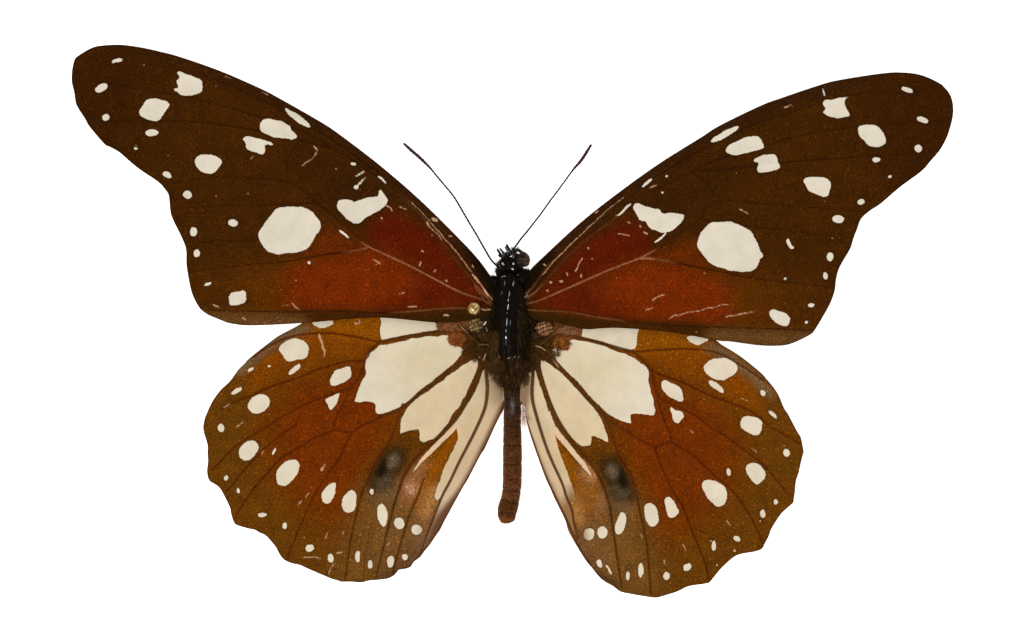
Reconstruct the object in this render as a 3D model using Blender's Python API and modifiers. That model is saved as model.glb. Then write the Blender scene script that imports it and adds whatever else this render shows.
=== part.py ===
"""A dried butterfly with its wings spread, pinned through the root of one forewing.

It lies on the tips of its walking legs and the cut end of the pin, on z = 0. +X is the insect's right side,
+Y its head and +Z its back, and the origin is under the middle of the spread wings.
"""

import math

import bmesh
import bpy
from mathutils import Matrix, Vector, geometry

MM = 0.001

# Wings, in millimetres: the left pair as they are spread, run by run round each wing from its root
HINGE_X = 2.15
FOREWING_COSTA = [
    (-2.15, 4.3), (-4.25, 7.15), (-6.25, 9.2), (-10.25, 13.1), (-13.25, 15.6), (-17.25, 18.65),
    (-21.25, 21.15), (-25.25, 23.3), (-29.25, 25.05), (-33.25, 26.45), (-37.25, 27.4), (-40.0, 27.65),
    (-42.25, 27.25), (-43.7, 26.2),
]
FOREWING_OUTER = [
    (-44.05, 24.65), (-43.7, 22.15), (-42.25, 19.45), (-40.25, 17.45), (-37.25, 15.2), (-35.4, 13.95),
    (-34.4, 12.75), (-34.15, 10.95), (-33.5, 9.25), (-32.6, 6.55), (-32.45, 4.85), (-31.95, 2.6),
]
FOREWING_HIND = [
    (-31.1, 1.15), (-28.95, 0.05), (-26.0, -0.35), (-21.25, -0.15), (-17.0, 0.2), (-13.15, 0.35),
    (-7.75, -0.1), (-4.25, 0.15), (-2.15, 0.8),
]
HINDWING_COSTA = [
    (-2.15, -0.4), (-4.25, 0.2), (-7.25, 1.35), (-11.25, 2.15), (-16.25, 1.95), (-20.25, 0.65),
    (-23.25, -1.35), (-25.25, -2.8), (-27.45, -4.85), (-29.25, -6.9), (-30.6, -9.25),
]
HINDWING_OUTER = [
    (-30.85, -11.0), (-30.45, -13.2), (-30.45, -15.5), (-28.85, -17.45), (-27.9, -20.0), (-25.8, -20.85),
    (-24.65, -21.45), (-23.05, -23.65), (-20.45, -24.75), (-17.15, -26.05), (-13.25, -25.85),
    (-11.25, -24.85),
]
HINDWING_INNER = [
    (-9.85, -24.05), (-7.75, -21.55), (-5.7, -17.9), (-3.25, -13.45), (-1.35, -9.6), (-1.05, -7.6),
    (-1.45, -5.4), (-2.15, -2.65),
]
FOREWING_VEINS = [
    [(-3.0, 3.4), (-4.85, 6.0), (-8.25, 9.95), (-12.75, 14.35), (-17.75, 17.7), (-24.25, 21.35),
     (-31.25, 24.2), (-38.25, 26.0)],
    [(-17.75, 17.7), (-25.0, 19.9), (-33.0, 21.9), (-42.2, 23.6)],
    [(-22.75, 16.2), (-31.25, 18.0), (-40.4, 18.9)],
    [(-3.0, 1.95), (-6.25, 3.5), (-10.25, 5.55), (-14.55, 7.35), (-17.25, 10.0), (-19.85, 12.05)],
    [(-17.75, 17.7), (-22.75, 16.2), (-22.55, 13.95), (-19.85, 12.05)],
    [(-22.55, 13.95), (-29.45, 14.35), (-34.2, 13.6)],
    [(-19.85, 12.05), (-26.25, 11.6), (-33.3, 11.4)],
    [(-14.55, 7.35), (-17.75, 6.85), (-26.25, 5.7), (-31.6, 5.0)],
    [(-5.2, 1.35), (-10.25, 1.1), (-15.05, 1.1), (-22.75, 0.95), (-29.9, 1.4)],
]
HINDWING_VEINS = [
    [(-3.2, -0.95), (-8.15, -1.15), (-13.35, -2.05), (-16.25, -1.45), (-20.25, -1.2), (-24.3, -2.75)],
    [(-13.35, -2.05), (-14.75, -3.85), (-18.15, -4.45), (-21.25, -5.55), (-28.1, -8.1)],
    [(-14.75, -3.85), (-15.95, -6.35), (-18.25, -7.45), (-23.95, -10.25), (-29.8, -12.5)],
    [(-15.95, -6.35), (-16.95, -8.25), (-17.8, -10.85), (-16.15, -11.15)],
    [(-17.8, -10.85), (-20.75, -12.2), (-23.25, -13.6), (-24.95, -15.45), (-26.9, -19.0)],
    [(-3.2, -2.2), (-4.95, -3.65), (-8.25, -6.0), (-11.25, -8.2), (-13.75, -9.55), (-16.15, -11.15)],
    [(-16.15, -11.15), (-17.35, -13.75), (-19.45, -16.65), (-20.95, -19.85), (-22.1, -22.7)],
    [(-11.25, -8.2), (-12.25, -11.95), (-14.35, -15.75), (-15.65, -19.35), (-16.5, -25.0)],
    [(-3.0, -3.4), (-5.55, -9.2), (-8.45, -12.15), (-10.55, -14.65), (-11.75, -17.45), (-13.3, -24.5)],
    [(-2.6, -5.6), (-3.65, -10.45), (-6.15, -14.65), (-7.85, -18.9), (-9.3, -22.6)],
]
MEMBRANE = 0.2
VEIN_THICKNESS = 0.36
WING_GRID = 2.3

# Height of the wings above the surface that the insect lies on
FOREWING_ROOT_Z = 5.3
HINDWING_ROOT_Z = 4.65
WING_RISE = 0.055
WING_CURL = 0.0007
HINDWING_DROOP = 0.011

# The right wings are the left ones mirrored, a little smaller, and turned on their hinges as they were set
RIGHT_WING_SCALE = 0.986
RIGHT_FOREWING_TURN = math.radians(3.6)
RIGHT_HINDWING_TURN = math.radians(4.5)
RIGHT_FOREWING_HINGE = (1.4, 2.28)
RIGHT_HINDWING_HINGE = (1.34, -1.99)
LEFT_FOREWING_HINGE = (-HINGE_X, 2.5)
LEFT_HINDWING_HINGE = (-HINGE_X, -1.5)

# Body, in millimetres: centre and half sizes of each rounded form
THORAX_CENTRE = (-0.4, 0.25, 4.35)
THORAX_HALF = (1.6, 4.2, 2.3)
HEAD_CENTRE = (0.0, 6.05, 4.3)
HEAD_HALF = (1.3, 1.15, 1.25)
EYE_RADIUS = 0.8
EYE_CENTRES = [(-0.85, 6.1, 4.35), (0.98, 6.35, 4.75)]
PALP_HALF = (0.3, 0.85, 0.45)
PALP_CENTRES = [(-0.62, 7.05, 4.2), (0.28, 7.2, 4.25)]
ABDOMEN_PATH = [
    (0.05, -4.35, 3.75), (0.04, -7.0, 3.3), (0.04, -10.0, 2.75), (0.05, -13.0, 2.15),
    (0.08, -16.0, 1.6), (0.0, -17.8, 1.28), (-0.3, -19.0, 1.02), (-0.4, -20.15, 0.86),
]
ABDOMEN_RADII = [1.0, 0.93, 0.86, 0.92, 0.9, 0.96, 0.82, 0.5]
ABDOMEN_SEGMENTS = 8
SEGMENT_WAIST = 0.93

# Antennae from socket to club tip, legs from hip to toe on either side of the thorax, and the tongue's coil
ANTENNA_LEFT = [
    (-1.65, 5.85, 5.3), (-2.7, 7.1, 5.7), (-4.6, 10.35, 6.3), (-7.25, 14.15, 6.8), (-9.25, 16.35, 6.9),
    (-10.9, 17.85, 6.7),
]
ANTENNA_RIGHT = [
    (0.3, 8.4, 4.95), (0.9, 8.95, 5.4), (2.75, 10.95, 6.2), (4.7, 13.35, 6.7), (6.9, 16.15, 6.8),
    (7.9, 17.7, 6.6),
]
ANTENNA_RADII = [0.11, 0.09, 0.09, 0.09, 0.17, 0.14]
MIDLEG = [
    (0.9, 1.1, 1.95), (1.9, 1.9, 2.5), (3.0, 2.7, 2.9), (3.7, 3.1, 2.3), (4.3, 3.4, 0.8),
    (4.75, 3.6, 0.16), (5.9, 3.9, 0.11),
]
HINDLEG = [
    (0.9, -1.0, 1.95), (1.9, -2.3, 2.5), (3.1, -3.6, 2.9), (3.8, -4.6, 2.2), (4.4, -5.9, 0.8),
    (4.7, -6.6, 0.16), (5.1, -8.1, 0.11),
]
LEG_RADII = [0.24, 0.26, 0.2, 0.15, 0.13, 0.11, 0.1]
FORELEG = [(0.75, 3.2, 2.3), (1.0, 4.2, 2.3), (1.05, 5.1, 2.4), (0.8, 4.5, 1.75)]
FORELEG_RADII = [0.2, 0.2, 0.16, 0.12]
TONGUE_CENTRE = (-0.1, 6.6, 2.15)
TONGUE_OUTER = 0.52
TONGUE_INNER = 0.2
TONGUE_TURNS = 2.2
TONGUE_RADIUS = 0.06

# Pin: a brass wire with a round head, cut off level with the surface under the insect
PIN_PLACE = (-3.85, 1.3)
PIN_SHANK_RADIUS = 0.25
PIN_HEAD_RADIUS = 0.61
PIN_HEAD_Z = 6.55
PIN_HOLE_RADIUS = PIN_SHANK_RADIUS + 0.3

SMOOTH_STEPS = 3


def clear_scene():
    for obj in list(bpy.data.objects):
        bpy.data.objects.remove(obj, do_unlink=True)


def new_collection(name):
    collection = bpy.data.collections.new(name)
    bpy.context.scene.collection.children.link(collection)
    return collection


def new_material(name, colour, roughness, metallic=0.0):
    material = bpy.data.materials.new(name)
    material.use_nodes = True
    shader = material.node_tree.nodes["Principled BSDF"]
    shader.inputs["Base Color"].default_value = (*colour, 1.0)
    shader.inputs["Roughness"].default_value = roughness
    shader.inputs["Metallic"].default_value = metallic
    return material


def add_object(name, data, collection, material):
    obj = bpy.data.objects.new(name, data)
    obj.data.materials.append(material)
    collection.objects.link(obj)
    return obj


def make_helper(obj):
    obj.hide_render = True
    obj.display_type = "WIRE"


def smooth_line(points, steps=SMOOTH_STEPS):
    """Points of a Catmull-Rom curve through the given ones, with some steps between each two."""
    points = [Vector(point) for point in points]
    ends = [2 * points[0] - points[1], *points, 2 * points[-1] - points[-2]]
    line = []
    for before, start, end, after in zip(ends, ends[1:], ends[2:], ends[3:]):
        for step in range(steps):
            t = step / steps
            line.append(
                start
                + 0.5 * t * (end - before)
                + t * t * (before - 2.5 * start + 2 * end - 0.5 * after)
                + t**3 * (1.5 * start - 0.5 * before - 1.5 * end + 0.5 * after)
            )
    return [*line, points[-1]]


def wing_level(root_z, droop, x, y):
    """Height of a wing's middle surface: it rises from the hinge, flattens outwards and droops behind."""
    out = abs(x) - HINGE_X
    behind = max(0.0, -y - 6.0)
    return root_z + WING_RISE * out - WING_CURL * out * out - droop * behind**1.35


def inside(point, outline):
    """Whether the point is inside the closed outline, by the count of edges crossed to its right."""
    crossings = 0
    for start, end in zip(outline, outline[1:] + outline[:1]):
        if (start.y > point.y) != (end.y > point.y):
            x = start.x + (point.y - start.y) * (end.x - start.x) / (end.y - start.y)
            crossings += x > point.x
    return crossings % 2 == 1


def fill_points(outline, lines, spacing):
    """Points in rows of triangles inside the outline, each clear of the outline and the lines."""
    low_x = min(point.x for point in outline)
    high_x = max(point.x for point in outline)
    low_y = min(point.y for point in outline)
    high_y = max(point.y for point in outline)
    row_step = spacing * math.sqrt(3) / 2
    taken = outline + [point for line in lines for point in line]
    found = []
    for row in range(int((high_y - low_y) / row_step) + 1):
        for column in range(int((high_x - low_x) / spacing) + 1):
            point = Vector((low_x + (column + 0.5 * (row % 2)) * spacing, low_y + row * row_step))
            nearest = min((point - other).length for other in taken)
            if nearest > 0.55 * spacing and inside(point, outline):
                found.append(point)
    return found


def make_wing(name, runs, veins, root_z, droop, place, collection, material):
    """A thin wing: its outline and veins filled with triangles, raised to its height, and thickened."""
    outline = []
    for run, following in zip(runs, runs[1:] + [None]):
        line = smooth_line(run + following[:1] if following else run, 2)
        outline += line[:-1] if following else line
    lines = [smooth_line(vein, 3) for vein in veins]
    outline = [place(point) for point in outline]
    lines = [[place(point) for point in line] for line in lines]
    points = list(outline)
    edges = [(index, (index + 1) % len(outline)) for index in range(len(outline))]
    for line in lines:
        first = len(points)
        points += line
        edges += [(first + index, first + index + 1) for index in range(len(line) - 1)]
    first_fill = len(points)
    points += fill_points(outline, lines, WING_GRID)
    flat, _, faces, sources, _, _ = geometry.delaunay_2d_cdt(points, edges, [], 1, 1e-4)
    mesh = bpy.data.meshes.new(name)
    raised = [(x * MM, y * MM, wing_level(root_z, droop, x, y) * MM) for x, y in flat]
    mesh.from_pydata(raised, [], faces)
    wing = add_object(name, mesh, collection, material)
    on_vein = [
        index
        for index, source in enumerate(sources)
        if not source or any(len(outline) <= number < first_fill for number in source)
    ]
    group = wing.vertex_groups.new(name="veins")
    group.add(on_vein, 1.0, "REPLACE")
    solid = wing.modifiers.new("Thickness", "SOLIDIFY")
    solid.thickness = VEIN_THICKNESS * MM
    solid.offset = 0.0
    solid.vertex_group = "veins"
    solid.thickness_vertex_group = MEMBRANE / VEIN_THICKNESS
    mesh.shade_smooth()
    return wing


def kept(point):
    """The left wings stay as their outlines are written."""
    return Vector(point)


def set_right(turn, left_hinge, right_hinge):
    """A function that mirrors a left wing's point to the right, and turns it clockwise on its hinge."""

    def place(point):
        out = Vector((left_hinge[0] - point[0], point[1] - left_hinge[1])) * RIGHT_WING_SCALE
        return Vector((
            right_hinge[0] + out.x * math.cos(turn) + out.y * math.sin(turn),
            right_hinge[1] - out.x * math.sin(turn) + out.y * math.cos(turn),
        ))

    return place


def make_ellipsoid(name, centre, half, collection, material, segments=24, rings=14):
    bm = bmesh.new()
    bmesh.ops.create_uvsphere(
        bm,
        u_segments=segments,
        v_segments=rings,
        radius=MM,
        matrix=Matrix.Diagonal((*half, 1.0)) @ Matrix.Rotation(math.pi / 2, 4, "X"),
    )
    mesh = bpy.data.meshes.new(name)
    bm.to_mesh(mesh)
    bm.free()
    mesh.shade_smooth()
    obj = add_object(name, mesh, collection, material)
    obj.location = Vector(centre) * MM
    return obj


def make_tube(name, points, radii, collection, material, steps=SMOOTH_STEPS, roundness=2):
    """A tapering tube along a smooth path, closed at both ends."""
    path = smooth_line(points, steps)
    widths = smooth_line([(radius, 0.0) for radius in radii], steps)
    data = bpy.data.curves.new(name, "CURVE")
    data.dimensions = "3D"
    data.bevel_depth = MM
    data.bevel_resolution = roundness
    data.use_fill_caps = True
    spline = data.splines.new("POLY")
    spline.points.add(len(path) - 1)
    for point, place, width in zip(spline.points, path, widths):
        point.co = (*(place * MM), 1.0)
        point.radius = width.x
    return add_object(name, data, collection, material)


def unite(obj, helpers):
    for helper in helpers:
        make_helper(helper)
        join = obj.modifiers.new("Join " + helper.name, "BOOLEAN")
        join.operation = "UNION"
        join.object = helper


def make_head(collection, helpers, material):
    head = make_ellipsoid("head", HEAD_CENTRE, HEAD_HALF, collection, material, 20, 12)
    round_eye = (EYE_RADIUS, EYE_RADIUS, EYE_RADIUS)
    grown = [
        make_ellipsoid("eye_form", centre, round_eye, helpers, material, 14, 8)
        for centre in EYE_CENTRES
    ]
    grown += [
        make_ellipsoid("palp_form", centre, PALP_HALF, helpers, material, 10, 6)
        for centre in PALP_CENTRES
    ]
    unite(head, grown)


def make_abdomen(collection, material):
    """A tube that narrows a little at each joint between two segments."""
    rings = 2 * ABDOMEN_SEGMENTS
    path = smooth_line(ABDOMEN_PATH, 4)
    widths = smooth_line([(radius, 0.0) for radius in ABDOMEN_RADII], 4)
    points = []
    radii = []
    for ring in range(rings + 1):
        index = round(ring / rings * (len(path) - 1))
        points.append(path[index])
        radii.append(widths[index].x * (SEGMENT_WAIST if ring % 2 == 0 else 1.0))
    make_tube("abdomen", points, radii, collection, material, steps=1, roundness=5)


def on_side(points, side):
    return [(THORAX_CENTRE[0] + side * x, y, z) for x, y, z in points]


def make_legs(collection, material):
    for side, word in ((-1, "left"), (1, "right")):
        make_tube("foreleg_" + word, on_side(FORELEG, side), FORELEG_RADII, collection, material)
        make_tube("midleg_" + word, on_side(MIDLEG, side), LEG_RADII, collection, material)
        make_tube("hindleg_" + word, on_side(HINDLEG, side), LEG_RADII, collection, material)


def make_tongue(collection, material):
    """A flat coil that closes in as it turns, standing in the plane between the palps."""
    steps = 22
    points = []
    for step in range(steps + 1):
        part = step / steps
        reach = TONGUE_OUTER + (TONGUE_INNER - TONGUE_OUTER) * part
        angle = math.pi / 2 + part * TONGUE_TURNS * math.tau
        points.append((
            TONGUE_CENTRE[0],
            TONGUE_CENTRE[1] + reach * math.cos(angle),
            TONGUE_CENTRE[2] + reach * math.sin(angle),
        ))
    radii = [TONGUE_RADIUS] * len(points)
    make_tube("proboscis", points, radii, collection, material, steps=1)


def make_pin(collection, material):
    """A turned pin: its profile from the top of the head down to the flat cut end."""
    neck = math.asin(PIN_SHANK_RADIUS / PIN_HEAD_RADIUS)
    arc_steps = 9
    profile = []
    for step in range(arc_steps + 1):
        angle = step / arc_steps * (math.pi - neck)
        profile.append((
            PIN_HEAD_RADIUS * math.sin(angle),
            PIN_HEAD_Z + PIN_HEAD_RADIUS * math.cos(angle),
        ))
    profile += [(PIN_SHANK_RADIUS, PIN_HEAD_Z / 2), (PIN_SHANK_RADIUS, 0.0), (0.0, 0.0)]
    mesh = bpy.data.meshes.new("pin")
    mesh.from_pydata(
        [(radius * MM, 0.0, height * MM) for radius, height in profile],
        [(index, index + 1) for index in range(len(profile) - 1)],
        [],
    )
    pin = add_object("pin", mesh, collection, material)
    pin.location = (PIN_PLACE[0] * MM, PIN_PLACE[1] * MM, 0.0)
    turn = pin.modifiers.new("Turn", "SCREW")
    turn.steps = 16
    turn.render_steps = 16
    turn.use_merge_vertices = True
    turn.merge_threshold = 1e-6
    turn.use_smooth_shade = True


def cut_pin_hole(wing, helpers, material):
    bm = bmesh.new()
    bmesh.ops.create_cone(
        bm,
        cap_ends=True,
        segments=12,
        radius1=PIN_HOLE_RADIUS * MM,
        radius2=PIN_HOLE_RADIUS * MM,
        depth=4 * MM,
    )
    mesh = bpy.data.meshes.new("pin_hole")
    bm.to_mesh(mesh)
    bm.free()
    cutter = add_object("pin_hole", mesh, helpers, material)
    cutter.location = (PIN_PLACE[0] * MM, PIN_PLACE[1] * MM, FOREWING_ROOT_Z * MM)
    make_helper(cutter)
    cut = wing.modifiers.new("Pin hole", "BOOLEAN")
    cut.operation = "DIFFERENCE"
    cut.object = cutter


def make_wings(collection, helpers):
    fore_brown = new_material("forewing brown", (0.045, 0.015, 0.003), 0.7)
    hind_brown = new_material("hindwing brown", (0.17, 0.06, 0.008), 0.7)
    fore_runs = [FOREWING_COSTA, FOREWING_OUTER, FOREWING_HIND]
    hind_runs = [HINDWING_COSTA, HINDWING_OUTER, HINDWING_INNER]
    fore_right = set_right(RIGHT_FOREWING_TURN, LEFT_FOREWING_HINGE, RIGHT_FOREWING_HINGE)
    hind_right = set_right(RIGHT_HINDWING_TURN, LEFT_HINDWING_HINGE, RIGHT_HINDWING_HINGE)
    for word, fore_place, hind_place in (("left", kept, kept), ("right", fore_right, hind_right)):
        forewing = make_wing(
            "forewing_" + word, fore_runs, FOREWING_VEINS, FOREWING_ROOT_Z, 0.0, fore_place,
            collection, fore_brown,
        )
        make_wing(
            "hindwing_" + word, hind_runs, HINDWING_VEINS, HINDWING_ROOT_Z, HINDWING_DROOP, hind_place,
            collection, hind_brown,
        )
        if word == "left":
            cut_pin_hole(forewing, helpers, fore_brown)


def main():
    clear_scene()
    butterfly = new_collection("butterfly")
    helpers = new_collection("helpers")
    black = new_material("black hair", (0.012, 0.009, 0.006), 0.9)
    brown = new_material("abdomen brown", (0.065, 0.028, 0.01), 0.6)
    horn = new_material("dark horn", (0.03, 0.02, 0.015), 0.45)
    brass = new_material("brass", (0.62, 0.42, 0.16), 0.3, 1.0)
    make_wings(butterfly, helpers)
    make_head(butterfly, helpers, black)
    make_ellipsoid("thorax", THORAX_CENTRE, THORAX_HALF, butterfly, black)
    make_abdomen(butterfly, brown)
    make_tube("antenna_left", ANTENNA_LEFT, ANTENNA_RADII, butterfly, horn)
    make_tube("antenna_right", ANTENNA_RIGHT, ANTENNA_RADII, butterfly, horn)
    make_legs(butterfly, horn)
    make_tongue(butterfly, horn)
    make_pin(butterfly, brass)


main()
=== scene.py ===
import math

import bpy
import numpy as np
from bpy.props import FloatProperty, PointerProperty
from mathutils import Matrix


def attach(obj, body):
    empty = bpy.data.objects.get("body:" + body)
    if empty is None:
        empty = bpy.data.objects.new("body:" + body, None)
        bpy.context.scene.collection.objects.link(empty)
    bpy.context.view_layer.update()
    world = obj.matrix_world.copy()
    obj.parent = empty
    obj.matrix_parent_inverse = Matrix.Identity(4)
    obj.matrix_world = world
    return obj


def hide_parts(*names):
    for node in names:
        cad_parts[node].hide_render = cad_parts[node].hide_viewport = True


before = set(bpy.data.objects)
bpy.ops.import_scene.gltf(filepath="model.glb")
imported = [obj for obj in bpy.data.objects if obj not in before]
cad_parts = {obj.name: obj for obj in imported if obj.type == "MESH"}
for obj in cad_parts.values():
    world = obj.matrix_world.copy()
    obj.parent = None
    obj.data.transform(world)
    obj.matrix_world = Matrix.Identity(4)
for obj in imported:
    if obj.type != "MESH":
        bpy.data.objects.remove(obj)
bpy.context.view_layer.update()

bl_info = {
    "name": "Pinned butterfly",
    "version": (1, 0, 0),
    "blender": (4, 5, 0),
    "location": "3D View > Sidebar > Butterfly",
    "description": "Wings, body, hair and pin of a spread butterfly, on a pale floor",
    "category": "Add Mesh",
}

BODY = "root"
MM = 0.001

# Outlines, veins and markings are read in pixels of the photograph, y downwards, and made millimetres
PHOTO_WIDTH = 1024
PHOTO_CENTRE = (512.5, 321.5)
MM_PER_PIXEL = 0.1

# Heights of the wings, in millimetres, as the solids have them; the hindwings droop behind
HINGE_X = 2.15
FOREWING_ROOT_Z = 5.3
HINDWING_ROOT_Z = 4.65
WING_RISE = 0.055
WING_CURL = 0.0007
HINDWING_DROOP = 0.011
DROOP_FROM = 6.0
DROOP_POWER = 1.35

# Outline runs of each wing: leading edge from root to tip, outer edge, and hind or inner edge to the root
RUNS = {
    "forewing_left": (
        [(496, 284), (480, 261.5), (460, 239.5), (420, 200), (380, 165.4), (340, 134.8), (320, 121.5),
         (280, 98.7), (260, 88.3), (220, 71), (180, 57), (160, 51.7), (140, 47.4), (120, 45), (100, 46),
         (90, 49), (80, 55), (75.4, 59), (73, 67), (72, 75)],
        [(72.3, 83), (74.6, 93), (77, 105.4), (85.4, 119), (90, 127), (104.6, 144), (110, 147),
         (120, 152.6), (130, 161.5), (140, 169.5), (158.5, 182), (164.6, 188.5), (168.5, 194), (169.5, 199),
         (170.8, 212), (173.8, 221), (180.8, 235), (186.2, 249), (186.8, 265), (190, 284.6), (193, 295.4),
         (197, 303.5), (201.5, 310)],
        [(208.5, 315), (223, 321), (232, 323.7), (252, 325.5), (300, 323.2), (355, 318.5), (381, 317.8),
         (400, 319), (435, 322.5), (455, 322), (470, 320), (486, 316), (496, 312)],
    ),
    "forewing_right": (
        [(525, 279), (531, 269), (540, 260), (580, 223), (620, 191.5), (660, 163), (700, 138), (720, 125.4),
         (760, 106), (780, 98.5), (820, 85), (840, 80), (880, 73.8), (900, 72.6), (920, 75), (938.5, 83),
         (945.4, 89), (950, 95.4), (952.3, 103), (953, 111)],
        [(951.8, 120), (948.8, 131), (945.4, 140), (939, 151), (930, 161.5), (921, 171.5), (900, 187),
         (880, 204), (870, 210.5), (861, 218.5), (857, 228.5), (853, 239), (850, 248.5), (841, 264),
         (837.7, 271.5), (835.7, 280), (834.6, 290), (831, 301), (826, 311), (814, 331)],
        [(809, 335.4), (800, 340), (790, 344), (780, 345.7), (760, 345.4), (730, 341.5), (716, 340.3),
         (670, 332), (620, 328), (600, 328.5), (584, 329), (560, 323), (540, 321), (530, 317), (524, 313)],
    ),
    "hindwing_left": (
        [(497, 325), (485, 321), (470, 318), (440, 309), (400, 303), (350, 305), (320, 312), (299, 325),
         (280, 335), (270, 342), (250, 357.7), (244.6, 363.5), (238, 370), (230, 381), (220, 390.6),
         (212, 402), (206.5, 414), (205, 420.6)],
        [(203.3, 425), (203.8, 432), (207.5, 445), (207.5, 454), (208, 461), (207, 471), (208.4, 479),
         (211, 482), (216, 485), (221, 490), (229.7, 507.4), (231, 514), (233.4, 521.4), (236.4, 525),
         (247.4, 528.4), (254.7, 530), (260, 533), (266, 536), (275, 546.4), (279, 553.7), (282, 558),
         (285.7, 561), (292.4, 563.7), (300, 565.3), (308, 569), (331.4, 579), (337, 580.3), (341, 582),
         (351, 582), (361, 582.7), (369.5, 580.8), (380, 580), (390, 578), (395, 571.4), (400, 570)],
        [(406.4, 569), (410.6, 567), (414, 562), (420, 557.4), (425, 550.7), (430, 544.6), (435, 537),
         (440, 530), (445, 520), (462, 489), (468, 479), (480, 456), (485, 448), (495, 426), (500, 416),
         (503.5, 409), (504, 396), (499, 372), (498, 355)],
    ),
    "hindwing_right": (
        [(524, 325), (540, 321), (555, 316), (585, 311), (625, 310), (665, 316), (695, 329), (716.4, 340.5),
         (721.5, 344.6), (740, 356), (760, 372), (767, 379.5), (774, 388), (779, 396), (784, 408),
         (788, 414), (797, 431), (801, 438), (803.8, 452)],
        [(802, 458), (798.6, 473), (796, 481), (795, 492), (793.7, 500), (793, 503), (784, 511),
         (779.6, 516), (771.5, 529), (769, 536), (765, 543.7), (762, 549), (755, 551.7), (740, 554.4),
         (732, 558.7), (721, 569), (712, 580), (709, 583), (702, 584.4), (691, 586), (685, 588), (677, 592),
         (662, 596.7), (655.6, 598), (647, 597), (629, 594), (619.5, 591.5), (616, 586.6)],
        [(614.6, 583), (608.5, 579), (600, 575), (595, 571), (590, 565), (584, 558), (573, 540),
         (568, 530.6), (565, 520), (555, 499.5), (550, 488), (544.6, 476), (532.4, 441.7), (527, 423.4),
         (524, 410), (521, 403), (520, 395), (522, 372), (523, 355)],
    ),
}

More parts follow.
